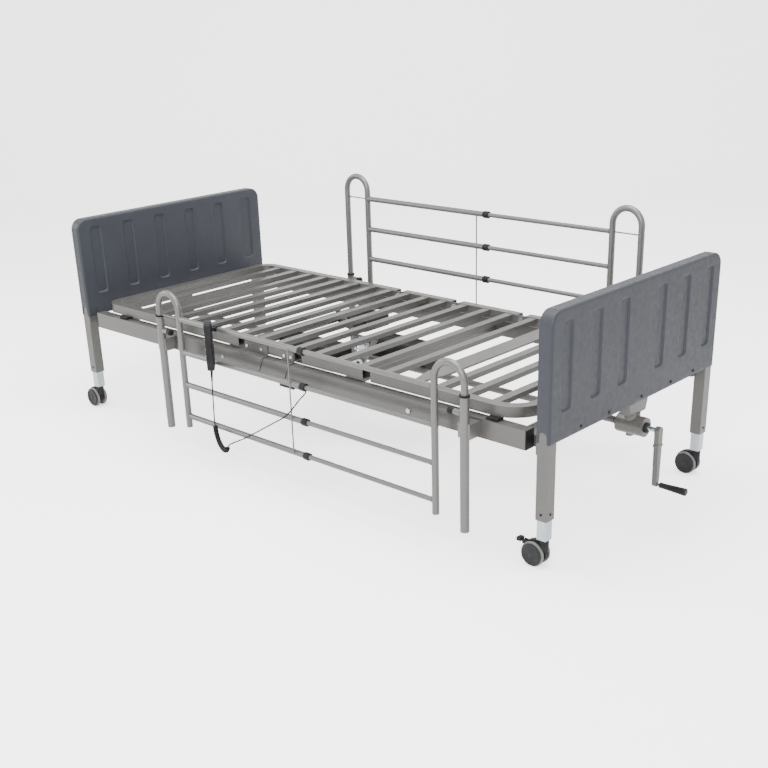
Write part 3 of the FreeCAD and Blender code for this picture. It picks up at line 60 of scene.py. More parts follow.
# ---------------------------------------------------------------- material building
class Shader:
    """A material under construction: a Principled surface and short calls for the nodes that feed it."""

    def __init__(self, name):
        self.material = bpy.data.materials.new(name)
        self.material.use_nodes = True
        self.tree = self.material.node_tree
        self.surface = self.tree.nodes["Principled BSDF"]
        self.coords = self.node("ShaderNodeTexCoord").outputs["Object"]

    def node(self, kind, **values):
        made = self.tree.nodes.new(kind)
        for key, value in values.items():
            setattr(made, key, value)
        return made

    def link(self, source, target):
        self.tree.links.new(source, target)

    def feed(self, target, source):
        """Sets an input from a number, a colour or another node's output."""
        if isinstance(source, bpy.types.NodeSocket):
            self.link(source, target)
        else:
            target.default_value = source

    def stretched(self, scale):
        mapping = self.node("ShaderNodeMapping")
        self.link(self.coords, mapping.inputs["Vector"])
        mapping.inputs["Scale"].default_value = scale
        return mapping.outputs["Vector"]

    def noise(self, size, detail=3.0, rough=0.55, vector=None):
        """Noise whose features are about size metres across."""
        made = self.node("ShaderNodeTexNoise")
        self.link(vector or self.coords, made.inputs["Vector"])
        made.inputs["Scale"].default_value = 1 / size
        made.inputs["Detail"].default_value = detail
        made.inputs["Roughness"].default_value = rough
        return made.outputs["Fac"]

    def cells(self, size, feature="F1"):
        made = self.node("ShaderNodeTexVoronoi", feature=feature)
        self.link(self.coords, made.inputs["Vector"])
        made.inputs["Scale"].default_value = 1 / size
        return made

    def remap(self, source, low, high, to_low=0.0, to_high=1.0):
        made = self.node("ShaderNodeMapRange")
        self.link(source, made.inputs["Value"])
        for key, value in (("From Min", low), ("From Max", high), ("To Min", to_low), ("To Max", to_high)):
            made.inputs[key].default_value = value
        return made.outputs["Result"]

    def maths(self, operation, first, second):
        made = self.node("ShaderNodeMath", operation=operation)
        self.feed(made.inputs[0], first)
        self.feed(made.inputs[1], second)
        return made.outputs[0]

    def mix(self, factor, first, second):
        made = self.node("ShaderNodeMix", data_type="RGBA")
        self.feed(made.inputs["Factor"], factor)
        for socket, value in ((made.inputs[6], first), (made.inputs[7], second)):
            if isinstance(value, tuple):
                value = (*value, 1.0)
            self.feed(socket, value)
        return made.outputs[2]

    def bump(self, height, strength, distance, normal=None):
        made = self.node("ShaderNodeBump")
        made.inputs["Strength"].default_value = strength
        made.inputs["Distance"].default_value = distance
        self.link(height, made.inputs["Height"])
        if normal is not None:
            self.link(normal, made.inputs["Normal"])
        return made.outputs["Normal"]

    def worn_edges(self, sharpness):
        """One along outside edges, zero elsewhere, broken up by noise."""
        pointed = self.node("ShaderNodeNewGeometry").outputs["Pointiness"]
        edge = self.remap(pointed, 0.5 + sharpness, 0.5 + 3 * sharpness)
        return self.maths("MULTIPLY", edge, self.remap(self.noise(12 * MM), 0.4, 0.62))

    def dust(self, amount):
        """Pale dust on faces that look up."""
        normal = self.node("ShaderNodeNewGeometry").outputs["Normal"]
        split = self.node("ShaderNodeSeparateXYZ")
        self.link(normal, split.inputs[0])
        upward = self.remap(split.outputs["Z"], 0.5, 1.0, 0.0, amount)
        return self.maths("MULTIPLY", upward, self.remap(self.noise(45 * MM, 5), 0.4, 0.7))

    def finish(self, color, rough, normal=None, **values):
        self.feed(self.surface.inputs["Base Color"], color)
        self.feed(self.surface.inputs["Roughness"], rough)
        if normal is not None:
            self.link(normal, self.surface.inputs["Normal"])
        for key, value in values.items():
            self.surface.inputs[key.replace("_", " ")].default_value = value
        return self.material


def powder_coat(name, color, flake, metallic):
    """Satin powder coat: orange peel, faint mottling, metal flake and a little dust."""
    s = Shader(name)
    darker, lighter = tuple(c * 0.96 for c in color), tuple(min(1, c * 1.05) for c in color)
    base = s.mix(s.remap(s.noise(220 * MM, 3), 0.3, 0.7), darker, lighter)
    sparkle = s.remap(s.cells(0.7 * MM).outputs["Color"], 0.78, 1.0, 0.0, flake)
    base = s.mix(sparkle, base, (0.42, 0.41, 0.40))
    base = s.mix(s.dust(0.03), base, (0.4, 0.39, 0.37))
    rough = s.remap(s.noise(90 * MM, 4), 0.3, 0.7, 0.34, 0.42)
    peel = s.bump(s.noise(1.6 * MM, 2), 0.06, 0.2 * MM)
    return s.finish(base, rough, peel, Metallic=metallic, Coat_Weight=0.12, Coat_Roughness=0.25)


def board_plastic():
    """Blow-moulded blue-grey plastic with a fine leathery grain, faint scuffs and slight sink."""
    s = Shader("board_plastic")
    base = s.mix(s.remap(s.noise(120 * MM, 4), 0.3, 0.7), (0.021, 0.023, 0.029), (0.024, 0.026, 0.033))
    base = s.mix(s.remap(s.noise(1.1 * MM, 3), 0.35, 0.7, 0.0, 0.2), base, (0.029, 0.032, 0.039))
    scuff = s.noise(30 * MM, 8, 0.7, s.stretched((1.0, 0.25, 2.5)))
    scratch = s.remap(scuff, 0.64, 0.74, 0.0, 0.2)
    base = s.mix(scratch, base, (0.048, 0.052, 0.062))
    base = s.mix(s.maths("MULTIPLY", s.worn_edges(0.03), 0.4), base, (0.065, 0.07, 0.08))
    grain = s.bump(s.cells(1.3 * MM, "SMOOTH_F1").outputs["Distance"], 0.10, 0.25 * MM)
    sink = s.bump(s.noise(70 * MM, 2), 0.25, 1.2 * MM, grain)
    rough = s.remap(s.noise(18 * MM, 5), 0.3, 0.7, 0.40, 0.54)
    return s.finish(base, rough, sink, Specular_IOR_Level=0.26)


def zinc_plate(name, color):
    """Bright zinc: faint spangle, drawn streaks along the tube and small handling marks."""
    s = Shader(name)
    spangle = s.remap(s.cells(9 * MM).outputs["Color"], 0.0, 1.0, 0.0, 0.35)
    base = s.mix(spangle, color, tuple(min(1, c * 1.2) for c in color))
    streaks = s.noise(3 * MM, 3, 0.6, s.stretched((1.0, 1.0, 0.04)))
    base = s.mix(s.remap(streaks, 0.4, 0.7, 0.0, 0.3), base, tuple(c * 0.72 for c in color))
    smears = s.remap(s.noise(20 * MM, 4), 0.4, 0.7, 0.0, 0.12)
    rough = s.maths("ADD", s.remap(streaks, 0.3, 0.7, 0.12, 0.26), smears)
    return s.finish(base, rough, s.bump(streaks, 0.08, 0.1 * MM), Metallic=0.92)


def moulded_plastic(name, color, size, rough_low, rough_high, strength=0.25):
    """Injection-moulded plastic with spark-eroded grain and polished-by-use edges."""
    s = Shader(name)
    lighter = tuple(c * 1.4 + 0.004 for c in color)
    base = s.mix(s.remap(s.noise(35 * MM, 4), 0.35, 0.7), color, lighter)
    base = s.mix(s.maths("MULTIPLY", s.worn_edges(0.04), 0.2), base, tuple(c * 2.2 + 0.02 for c in color))
    base = s.mix(s.dust(0.02), base, (0.34, 0.33, 0.32))
    grain = s.bump(s.noise(size, 3, 0.6), strength, 0.25 * MM)
    return s.finish(base, s.remap(s.noise(14 * MM, 4), 0.3, 0.7, rough_low, rough_high), grain,
                    Specular_IOR_Level=0.14)


def turned_brass():
    s = Shader("turned_brass")
    rings = s.noise(1.5 * MM, 2, 0.5, s.stretched((0.05, 0.05, 1.0)))
    base = s.mix(s.remap(rings, 0.3, 0.7), (0.55, 0.39, 0.16), (0.72, 0.55, 0.27))
    rough = s.remap(s.noise(8 * MM), 0.3, 0.7, 0.2, 0.36)
    return s.finish(base, rough, s.bump(rings, 0.1, 0.1 * MM), Metallic=1.0)


def tread_rubber():
    """Light grey non-marking tread: fine grain with floor grime rubbed into the running face."""
    s = Shader("tread_rubber")
    base = s.mix(s.remap(s.noise(9 * MM, 5), 0.35, 0.7), (0.075, 0.074, 0.072), (0.115, 0.113, 0.111))
    base = s.mix(s.remap(s.noise(3 * MM, 4, 0.7), 0.56, 0.7, 0.0, 0.5), base, (0.1, 0.095, 0.09))
    return s.finish(base, s.remap(s.noise(6 * MM), 0.3, 0.7, 0.5, 0.68), s.bump(s.noise(0.8 * MM), 0.3, 0.3 * MM))


def floor_paper():
    """Pale studio sweep with the faintest unevenness, overexposed to the eye but not as a light on the bed."""
    s = Shader("floor_paper")
    seen = s.node("ShaderNodeLightPath").outputs["Is Camera Ray"]
    s.feed(s.surface.inputs["Emission Strength"], s.maths("MULTIPLY", seen, 1.3))
    base = s.mix(s.remap(s.noise(0.8, 3), 0.3, 0.7), (0.86, 0.86, 0.86), (0.88, 0.88, 0.88))
    return s.finish(base, 0.9, s.bump(s.noise(2 * MM), 0.05, 0.2 * MM), Emission_Color=(1.0, 1.0, 1.0, 1.0))


FRAME_PAINT = powder_coat("frame_paint", (0.070, 0.067, 0.063), 0.05, 0.35)
GUARD_PAINT = powder_coat("guard_paint", (0.110, 0.108, 0.105), 0.10, 0.5)
BOARD = board_plastic()
ZINC = zinc_plate("zinc_steel", (0.36, 0.40, 0.42))
BRIGHT = zinc_plate("bright_steel", (0.34, 0.34, 0.34))
BLACK = moulded_plastic("black_plastic", (0.006, 0.006, 0.007), 0.7 * MM, 0.34, 0.50)
HUB = moulded_plastic("hub_plastic", (0.012, 0.0125, 0.014), 1.1 * MM, 0.42, 0.58)
RUBBER = moulded_plastic("black_rubber", (0.006, 0.006, 0.006), 0.9 * MM, 0.55, 0.72)
NYLON = moulded_plastic("grey_nylon", (0.12, 0.12, 0.12), 1.4 * MM, 0.40, 0.52)
KEYS = moulded_plastic("pale_keys", (0.42, 0.42, 0.40), 0.8 * MM, 0.30, 0.42)
TREAD = tread_rubber()
BRASS = turned_brass()
SLOT_MATERIALS = {
    "board_plastic": BOARD, "frame_paint": FRAME_PAINT, "guard_paint": GUARD_PAINT, "zinc_steel": ZINC,
    "brass_nut": BRASS, "black_plastic": BLACK, "nylon": NYLON, "black_rubber": RUBBER, "wheel_tread": TREAD,
}


# ---------------------------------------------------------------- carried-over CAD nodes
SLOT_OF = {row["node"]: row["material_slot"] for row in frame["record"]["subparts"]}
BODY_OF = {node: body for body, nodes in frame["record"]["behaviour"]["bodies"].items() for node in nodes}
EDGE_WIDTH = {"side_rails": 2.5, "foot_leg_frame": 2.0, "head_leg_frame": 2.0, "foot_inner_legs": 1.8,
              "head_inner_legs": 1.8, "head_section": 2.6, "seat_section": 2.6, "thigh_section": 2.6,
              "foot_section": 2.6, "cross_members": 2.2, "crank_arm": 2.0, "foot_gear_case": 2.5,
              "head_gear_case": 2.5, "end_plugs": 0.8, "frame_bolts": 1.2, "guard_posts": 0.5,
              "head_motor": 1.5, "knee_motor": 1.5, "control_box": 1.5}


def soften(piece, width, segments=3):
    """Rolls a piece's sharp edges over and shades it smoothly, leaving its own vertices alone."""
    data = piece.data
    if "custom_normal" in data.attributes:
        data.attributes.remove(data.attributes["custom_normal"])
    data.polygons.foreach_set("use_smooth", [True] * len(data.polygons))
    weld = piece.modifiers.new("weld", "WELD")
    weld.merge_threshold = 0.02 * MM
    flatten = piece.modifiers.new("flatten", "DECIMATE")
    flatten.decimate_type = "DISSOLVE"
    flatten.angle_limit = math.radians(0.5)
    bevel = piece.modifiers.new("edges", "BEVEL")
    bevel.width = width * MM
    bevel.segments = segments
    bevel.limit_method = "ANGLE"
    bevel.angle_limit = math.radians(35)
    bevel.use_clamp_overlap = True
    bevel.harden_normals = False
    piece.modifiers.new("normals", "WEIGHTED_NORMAL").keep_sharp = True


for name, piece in frame["nodes"].items():
    piece.data.materials.clear()
    piece.data.materials.append(SLOT_MATERIALS[SLOT_OF[name]])
    soften(piece, EDGE_WIDTH.get(name, 0.6))


# ---------------------------------------------------------------- mesh helpers
def new_piece(name, mesh_builder, material, body, stands_for=None):
    """Builds a mesh with mesh_builder(bmesh), gives it its material and lets it ride on its body."""
    data = bpy.data.meshes.new(name)
    bm = bmesh.new()
    mesh_builder(bm)
    bmesh.ops.recalc_face_normals(bm, faces=bm.faces)
    bm.to_mesh(data)
    bm.free()
    data.polygons.foreach_set("use_smooth", [True] * len(data.polygons))
    for item in material if isinstance(material, list) else [material]:
        data.materials.append(item)
    piece = bpy.data.objects.new(name, data)
    bpy.context.scene.collection.objects.link(piece)
    if stands_for:
        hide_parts(*stands_for)
    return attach(piece, body) if body else piece


def lathe(bm, profile, place, segments=64, material=None):
    """Spins a closed (radius, along) profile about the local Z axis and moves it by the matrix place."""
    rings = []
    for i in range(segments):
        angle = math.tau * i / segments
        spoke = Vector((math.cos(angle), math.sin(angle), 0))
        rings.append([bm.verts.new(place @ (spoke * r + Vector((0, 0, z)))) for r, z in profile])
    size = len(profile)
    for i in range(segments):
        first, second = rings[i], rings[(i + 1) % segments]
        for j in range(size):
            k = (j + 1) % size
            face = bm.faces.new((first[j], first[k], second[k], second[j]))
            face.material_index = material[j] if material else 0


def axis_matrix(centre, direction):
    """A matrix whose local Z lies along direction, at centre."""
    return Matrix.Translation(centre) @ Vector(direction).to_track_quat("Z", "Y").to_matrix().to_4x4()


def tube(bm, points, radius, sides=12):
    """A round tube with closed ends along points; radius is a number or one number per point."""
    radii = radius if isinstance(radius, list) else [radius] * len(points)
    rings, side = [], None
    for i, point in enumerate(points):
        ahead = (points[min(i + 1, len(points) - 1)] - points[max(i - 1, 0)]).normalized()
        side = (side or ahead.orthogonal()).normalized()
        side = (side - ahead * side.dot(ahead)).normalized()
        up = ahead.cross(side)
        ring = []
        for j in range(sides):
            a = math.tau * j / sides
            ring.append(bm.verts.new(point + (side * math.cos(a) + up * math.sin(a)) * radii[i]))
        rings.append(ring)
    for first, second in zip(rings, rings[1:]):
        for j in range(sides):
            k = (j + 1) % sides
            bm.faces.new((first[j], first[k], second[k], second[j]))
    bm.faces.new(list(reversed(rings[0])))
    bm.faces.new(rings[-1])


def smooth_path(points, steps):
    """A Catmull-Rom curve through points."""
    pts = [points[0] * 2 - points[1]] + points + [points[-1] * 2 - points[-2]]
    out = []
    for i in range(1, len(pts) - 2):
        a, b, c, d = pts[i - 1:i + 3]
        for n in range(steps):
            t = n / steps
            out.append(0.5 * (2 * b + (c - a) * t + (2 * a - 5 * b + 4 * c - d) * t * t
                              + (3 * b - a - 3 * c + d) * t ** 3))
    return out + [points[-1]]


def rounded_profile(radius, low, high, rim):
    """The (radius, along) half section of a solid disc with rolled rims."""
    roll = [(radius - rim + rim * math.sin(a), low + rim - rim * math.cos(a))
            for a in (i * math.pi / 8 for i in range(5))]
    return [(0.00001, low)] + roll + [(r, low + high - z) for r, z in reversed(roll)] + [(0.00001, high)]


# ---------------------------------------------------------------- end boards
INNER_RECESSES = (76, 227, 378)
OUTER_RECESSES = (102, 241, 384)
RECESS = {"half": 25 * MM, "low": 466 * MM, "high": 722 * MM, "corner": 14 * MM, "depth": 5 * MM}
BOARD_CORNER = 42 * MM
BOARD_ROLL = 8 * MM
ARCH_HALF = 15 * MM
ARCH_TALL = 34 * MM


def recess_depth(y, z, centres):
    """How deep a board's face lies at (y, z): soft-walled upright recesses with round corners."""
    middle, half_tall = (RECESS["low"] + RECESS["high"]) / 2, (RECESS["high"] - RECESS["low"]) / 2
    corner = RECESS["corner"]
    nearest = min(abs(abs(y) - c * MM) for c in centres)
    qy, qz = nearest - RECESS["half"] + corner, abs(z - middle) - half_tall + corner
    outside = math.hypot(max(qy, 0), max(qz, 0)) + min(max(qy, qz), 0) - corner
    share = min(1, max(0, (1.0 * MM - outside) / (5.0 * MM)))
    return RECESS["depth"] * share * share * (3 - 2 * share)


def refined(low, high, step, marks, fine, reach):
    """Sorted stations from low to high: step apart, with extra ones fine apart around each mark."""
    count = round((high - low) / step)
    stations = [low + (high - low) * i / count for i in range(count + 1)]
    kept = [v for v in stations if all(abs(v - m) > reach for m in marks) or v in (low, high)]
    near = round(reach / fine)
    for mark in marks:
        kept += [mark + i * fine for i in range(-near, near + 1) if low < mark + i * fine < high]
    return sorted(set(round(v, 6) for v in kept))


def board_shell(bm, low, high, bed_side):
    """A hollow board, open below; bed_side is -1 where the bed lies towards -X of it and +1 otherwise."""
    half, top, base = high.y, high.z, low.z
    marks = [s * (c * MM + e * RECESS["half"]) for s in (-1, 1) for c in INNER_RECESSES + OUTER_RECESSES
             for e in (-1, 1)]
    columns = refined(-half + BOARD_ROLL, half - BOARD_ROLL, 7 * MM, marks, 1.3 * MM, 5.2 * MM)
    rows = refined(base, top - BOARD_CORNER, 8 * MM, [RECESS["low"]], 1.3 * MM, 6.5 * MM)
    centre_z = top - BOARD_CORNER
    rows += [centre_z + (BOARD_CORNER - BOARD_ROLL) * math.sin(math.pi / 2 * i / 20) for i in range(1, 21)]

    def width_at(z):
        rise = max(0.0, z - centre_z) / (BOARD_CORNER - BOARD_ROLL)
        return half - BOARD_CORNER + (BOARD_CORNER - BOARD_ROLL) * math.sqrt(max(0.0, 1 - rise * rise))

    flat_half = half - BOARD_ROLL
    faces = {}
    for face, centres in ((bed_side, INNER_RECESSES), (-bed_side, OUTER_RECESSES)):
        plane = high.x if face > 0 else low.x
        grid = []
        for z in rows:
            line = []
            for u in columns:
                y = u / flat_half * width_at(z)
                line.append(bm.verts.new((plane - face * recess_depth(y, z, centres), y, z)))
            grid.append(line)
        for lower, upper in zip(grid, grid[1:]):
            for j in range(len(columns) - 1):
                bm.faces.new((lower[j], lower[j + 1], upper[j + 1], upper[j]))
        faces[face] = grid

    def rim_of(grid):
        return [row[0] for row in grid] + grid[-1][1:-1] + [row[-1] for row in reversed(grid)]

    front, back = rim_of(faces[1]), rim_of(faces[-1])
    middle = Vector((0, 0, 0))
    previous = front
    steps = 6
    for i in range(1, steps * 2 + 1):
        if i <= steps:
            angle = math.pi / 2 * i / steps
            x = high.x - BOARD_ROLL + BOARD_ROLL * math.cos(angle)
        else:
            angle = math.pi / 2 * (2 * steps - i) / steps
            x = low.x + BOARD_ROLL - BOARD_ROLL * math.cos(angle)
        out = BOARD_ROLL * math.sin(angle)
        ring = []
        for n, vert in enumerate(front):
            y, z = vert.co.y, vert.co.z
            middle.y = max(-half + BOARD_CORNER, min(half - BOARD_CORNER, y))
            middle.z = min(z, centre_z)
            away = Vector((0, y - middle.y, z - middle.z)).normalized()
            ring.append(bm.verts.new((x, y + away.y * out, z + away.z * out)))
        if i == steps * 2:
            for old in ring:
                bm.verts.remove(old)
            ring = back
        for n in range(len(ring) - 1):
            bm.faces.new((previous[n], previous[n + 1], ring[n + 1], ring[n]))
        previous = ring


def arch_cutter(low, high):
    """The arch that bares each leg at the board's lower corners, as a solid through both side walls."""
    data = bpy.data.meshes.new("arch_cutter")
    bm = bmesh.new()
    middle, base = (low.x + high.x) / 2, low.z
    crown = base + ARCH_TALL - ARCH_HALF
    outline = [(middle + ARCH_HALF, base - 0.01)]
    outline += [(middle + ARCH_HALF * math.cos(a), crown + ARCH_HALF * math.sin(a))
                for a in (math.pi * i / 16 for i in range(17))]
    outline += [(middle - ARCH_HALF, base - 0.01)]
    rings = [[bm.verts.new((x, y, z)) for x, z in outline] for y in (low.y - 0.01, high.y + 0.01)]
    for j in range(len(outline)):
        k = (j + 1) % len(outline)
        bm.faces.new((rings[0][j], rings[0][k], rings[1][k], rings[1][j]))
    bm.faces.new(rings[0])
    bm.faces.new(list(reversed(rings[1])))
    bmesh.ops.recalc_face_normals(bm, faces=bm.faces)
    bm.to_mesh(data)
    bm.free()
    cutter = bpy.data.objects.new("arch_cutter", data)
    bpy.context.scene.collection.objects.link(cutter)
    return cutter


def apply_modifiers(piece):
    """Bakes a piece's modifiers into its mesh."""
    bpy.context.view_layer.update()
    baked = bpy.data.meshes.new_from_object(piece.evaluated_get(bpy.context.evaluated_depsgraph_get()))
    piece.modifiers.clear()
    piece.data = baked


def end_board(name, node, bed_side):
    low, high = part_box(node)
    across = Vector((0, (low.y + high.y) / 2, 0))

    def build(bm):
        board_shell(bm, low - across, high - across, bed_side)
        bmesh.ops.translate(bm, verts=bm.verts, vec=across)

    piece = new_piece(name, build, BOARD, None)
    skin = piece.modifiers.new("skin", "SOLIDIFY")
    skin.thickness = 2.4 * MM
    skin.offset = -1
    skin.use_even_offset = False
    cutter = arch_cutter(low, high)
    arch = piece.modifiers.new("arch", "BOOLEAN")
    arch.object = cutter
    arch.solver = "EXACT"
    apply_modifiers(piece)
    bpy.data.objects.remove(cutter)
    piece.modifiers.new("normals", "WEIGHTED_NORMAL").keep_sharp = True
    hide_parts(node)
    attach(piece, BODY_OF[node])


end_board("footboard", "footboard_shell", -1)
end_board("headboard", "headboard_shell", 1)


# ---------------------------------------------------------------- casters
CASTERS = ("near_foot", "far_foot", "near_head", "far_head")
WHEEL = {"radius": 38 * MM, "width": 17 * MM, "hub": 34 * MM}


def wheel_profile(inner, outer):
    """One wheel from its inner face to its outer face: a rolled tread beside a broad dished hub cover."""
    r, h = WHEEL["radius"], WHEEL["hub"]
    step = 1 if outer > inner else -1
    tread = [(10 * MM, inner), (r - 6 * MM, inner), (r - 2.5 * MM, inner + step * 0.6 * MM),
             (r - 0.5 * MM, inner + step * 2.4 * MM), (r, inner + step * 5 * MM), (r, inner + step * 8 * MM),
             (r - 0.6 * MM, inner + step * 10.2 * MM), (r - 2 * MM, inner + step * 11.6 * MM),
             (h - 1 * MM, inner + step * 12 * MM)]
    cover = [(h - 1 * MM, inner + step * 12.4 * MM), (h + 0.6 * MM, inner + step * 12.9 * MM),
             (h + 0.6 * MM, inner + step * 14.4 * MM), (h - 1.2 * MM, inner + step * 15.9 * MM),
             (h - 4 * MM, outer - step * 0.4 * MM), (h - 7 * MM, outer), (h - 9 * MM, outer - step * 1.4 * MM),
             (9 * MM, outer - step * 1.9 * MM), (7.6 * MM, outer - step * 0.4 * MM), (0.01 * MM, outer)]
    return tread + cover + [(0.01 * MM, inner)], [0] * (len(tread) - 1) + [1] * (len(cover) + 2)


def wheel_pair(word):
    low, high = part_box(word + "_wheels")
    centre = (low + high) / 2
    half = (high.y - low.y) / 2

    def build(bm):
        for side in (-1, 1):
            profile, materials = wheel_profile(side * (half - WHEEL["width"]), side * half)
            lathe(bm, profile, axis_matrix(centre, (0, 1, 0)), 72, material=materials)
        lathe(bm, rounded_profile(3.9 * MM, -12 * MM, 12 * MM, 0.5 * MM), axis_matrix(centre, (0, 1, 0)), 24)

    piece = new_piece(word + "_twin_wheels", build, [TREAD, HUB], BODY_OF[word + "_wheels"], [word + "_wheels"])
    piece.modifiers.new("normals", "WEIGHTED_NORMAL").keep_sharp = True


for word in CASTERS:
    wheel_pair(word)
    frame["nodes"][word + "_caster"].modifiers["edges"].width = 1.8 * MM


# ---------------------------------------------------------------- crank grip, knobs, cord
def crank_handle():
    low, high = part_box("crank_grip")
    centre = Vector((low.x, (low.y + high.y) / 2, (low.z + high.z) / 2))
    length, flare = high.x - low.x, (high.y - low.y) / 2
    outline = [(4.2, 0.0), (7.6, 0.0), (8.8, 0.9), (9.0, 2.4), (8.6, 4.0), (8.7, 12), (9.3, 30), (10.2, 52),
               (11.2, 72), (11.8, 82), (12.0, 85.5), (11.4, 87.8), (9.6, 89.0), (0.01, 89.0), (0.01, 86.0),
               (4.2, 86.0)]
    scale_r, scale_x = flare / (12.0 * MM), length / (89.0 * MM)
    profile = [(r * MM * scale_r, x * MM * scale_x) for r, x in outline]

    def build(bm):
        lathe(bm, profile, axis_matrix(centre, (1, 0, 0)), 48)

    new_piece("crank_handle", build, BLACK, "crank_grip", ["crank_grip"])


def pull_knob(word):
    """A fluted mushroom knob on the plunger's bright pin."""
    low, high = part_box(word + "_plunger")
    away = 1 if "head" in word else -1
    start = Vector((low.x if away > 0 else high.x, (low.y + high.y) / 2, (low.z + high.z) / 2))
    length, radius = high.x - low.x, (high.y - low.y) / 2
    neck = length - 20 * MM

    def build(bm):
        place = axis_matrix(start, (away, 0, 0))
        pin = [(0.01 * MM, 0), (3.2 * MM, 0), (3.9 * MM, 0.8 * MM), (3.9 * MM, neck + 1 * MM),
               (0.01 * MM, neck + 1 * MM)]
        lathe(bm, pin, place, 24, material=[1] * len(pin))
        rings, flutes, per = [], 12, 6
        stations = [(0.30, 0.0), (0.78, 0.0), (0.86, 0.8), (0.80, 2.6), (0.74, 5.0), (0.86, 7.6), (0.97, 9.6),
                    (1.0, 12.0), (1.0, 16.0), (0.95, 18.4), (0.80, 19.6), (0.40, 20.0)]
        for share, along in stations:
            ring = []
            for i in range(flutes * per):
                angle = math.tau * i / (flutes * per)
                dip = 0.06 * (0.5 - 0.5 * math.cos(flutes * angle)) * (1 if share > 0.9 else 0)
                r = radius * (share - dip)
                point = Vector((r * math.cos(angle), r * math.sin(angle), neck + along * MM))
                ring.append(bm.verts.new(place @ point))
            rings.append(ring)
        for first, second in zip(rings, rings[1:]):
            for i in range(len(first)):
                k = (i + 1) % len(first)
                bm.faces.new((first[i], first[k], second[k], second[i]))
        bm.faces.new(list(reversed(rings[0])))
        bm.faces.new(rings[-1])

    node = word + "_plunger"
    new_piece(word + "_pull_knob", build, [BLACK, BRIGHT], node, [node])


crank_handle()
for word in CASTERS:
    pull_knob(word)


def cord_course():
    """The cord's path: down from the pendant, round a loose loop, up and in to its plug."""
    low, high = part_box("pendant_cord")
    case_low, case_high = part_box("pendant")
    x, z = (case_low.x + case_high.x) / 2, case_low.z
    y = low.y + 3 * MM
    inside = high.y - 3 * MM
    drop = z - low.z - 3 * MM
    reach = high.x - 3 * MM - x
    plug_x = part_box("cord_plug")[1].x
    plug_z = sum(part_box("cord_plug")[i].z for i in (0, 1)) / 2
    points = [(x, y, z + 4 * MM), (x - 4 * MM, y, z - 0.16 * drop), (x - 8 * MM, y, z - 0.45 * drop),
              (x - 10 * MM, y, z - 0.68 * drop), (x - 4 * MM, y, z - 0.84 * drop),
              (x + 14 * MM, y, z - 0.96 * drop), (x + 40 * MM, y, z - drop), (x + 66 * MM, y, z - 0.90 * drop),
              (x + 0.38 * reach, y, z - 0.74 * drop), (x + 0.74 * reach, y, z - 0.44 * drop),
              (x + 0.92 * reach, y, z - 0.28 * drop), (x + 0.985 * reach, (y + inside) / 2, z - 0.12 * drop),
              (x + reach, inside - 3 * MM, plug_z - 3 * MM), (x + 0.94 * reach, inside, plug_z),
              (plug_x - 2 * MM, inside, plug_z)]
    return [Vector(p) for p in points]


def pendant_lead():
    """The thin cord, with a thick coiled stretch round the bottom of its loop and a ribbed collar at the case."""
    course = smooth_path(cord_course(), 14)
    lowest = min(range(len(course)), key=lambda i: course[i].z)
    first, last = int(lowest * 0.56), int(lowest * 1.12)

    def build(bm):
        tube(bm, course, 2.3 * MM, 12)
        coil, turns = [], 26
        span = last - first
        steps = turns * 14
        side = Vector((0, 1, 0))
        for i in range(steps + 1):
            at = first + span * i / steps
            base, nxt = course[int(at)], course[min(int(at) + 1, len(course) - 1)]
            point = base.lerp(nxt, at - int(at))
            ahead = (nxt - base).normalized()
            up = ahead.cross(side).normalized()
            angle = math.tau * turns * i / steps
            coil.append(point + (side * math.cos(angle) + up * math.sin(angle)) * 6.8 * MM)
        tube(bm, coil, 2.6 * MM, 8)
        collar = course[1:14]
        tube(bm, collar, [(4.6 - 0.15 * i + (0.5 if i % 2 else 0)) * MM for i in range(len(collar))], 16)

    piece = new_piece("pendant_lead", build, RUBBER, None, ["pendant_cord"])
    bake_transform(piece)


pendant_lead()


# ---------------------------------------------------------------- pendant keys
PENDANT_FACE = Vector((-math.sin(math.radians(45)), -math.cos(math.radians(45)), 0))


def arrow_key(bm, middle, across, way):
    """A raised three-cornered key with its point up (way 1) or down (way -1)."""
    rise = Vector((0, 0, way))
    corners = [middle + rise * 6.4 * MM, middle - across * 6 * MM - rise * 3.6 * MM,
               middle + across * 6 * MM - rise * 3.6 * MM]
    back = [bm.verts.new(p - PENDANT_FACE * 1.2 * MM) for p in corners]
    front = [bm.verts.new(p + PENDANT_FACE * 2.4 * MM) for p in corners]
    bm.faces.new(front)
    bm.faces.new(list(reversed(back)))
    for j in range(3):
        k = (j + 1) % 3
        bm.faces.new((front[j], back[j], back[k], front[k]))


def pendant_keys(node):
    """Two raised arrow keys on a rocker, one above the other."""
    low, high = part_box(node)
    centre, half = (low + high) / 2, (high.z - low.z) / 2
    across = PENDANT_FACE.cross(Vector((0, 0, 1)))

    def build(bm):
        for way in (-1, 1):
            middle = centre + PENDANT_FACE * 3 * MM + Vector((0, 0, way * half * 0.5))
            arrow_key(bm, middle, across, way)

    piece = new_piece(node + "_arrows", build, KEYS, node)
    piece.data.polygons.foreach_set("use_smooth", [False] * len(piece.data.polygons))
    rounding = piece.modifiers.new("edges", "BEVEL")
    rounding.width = 0.8 * MM
    rounding.segments = 3


pendant_keys("head_switch")
pendant_keys("knee_switch")


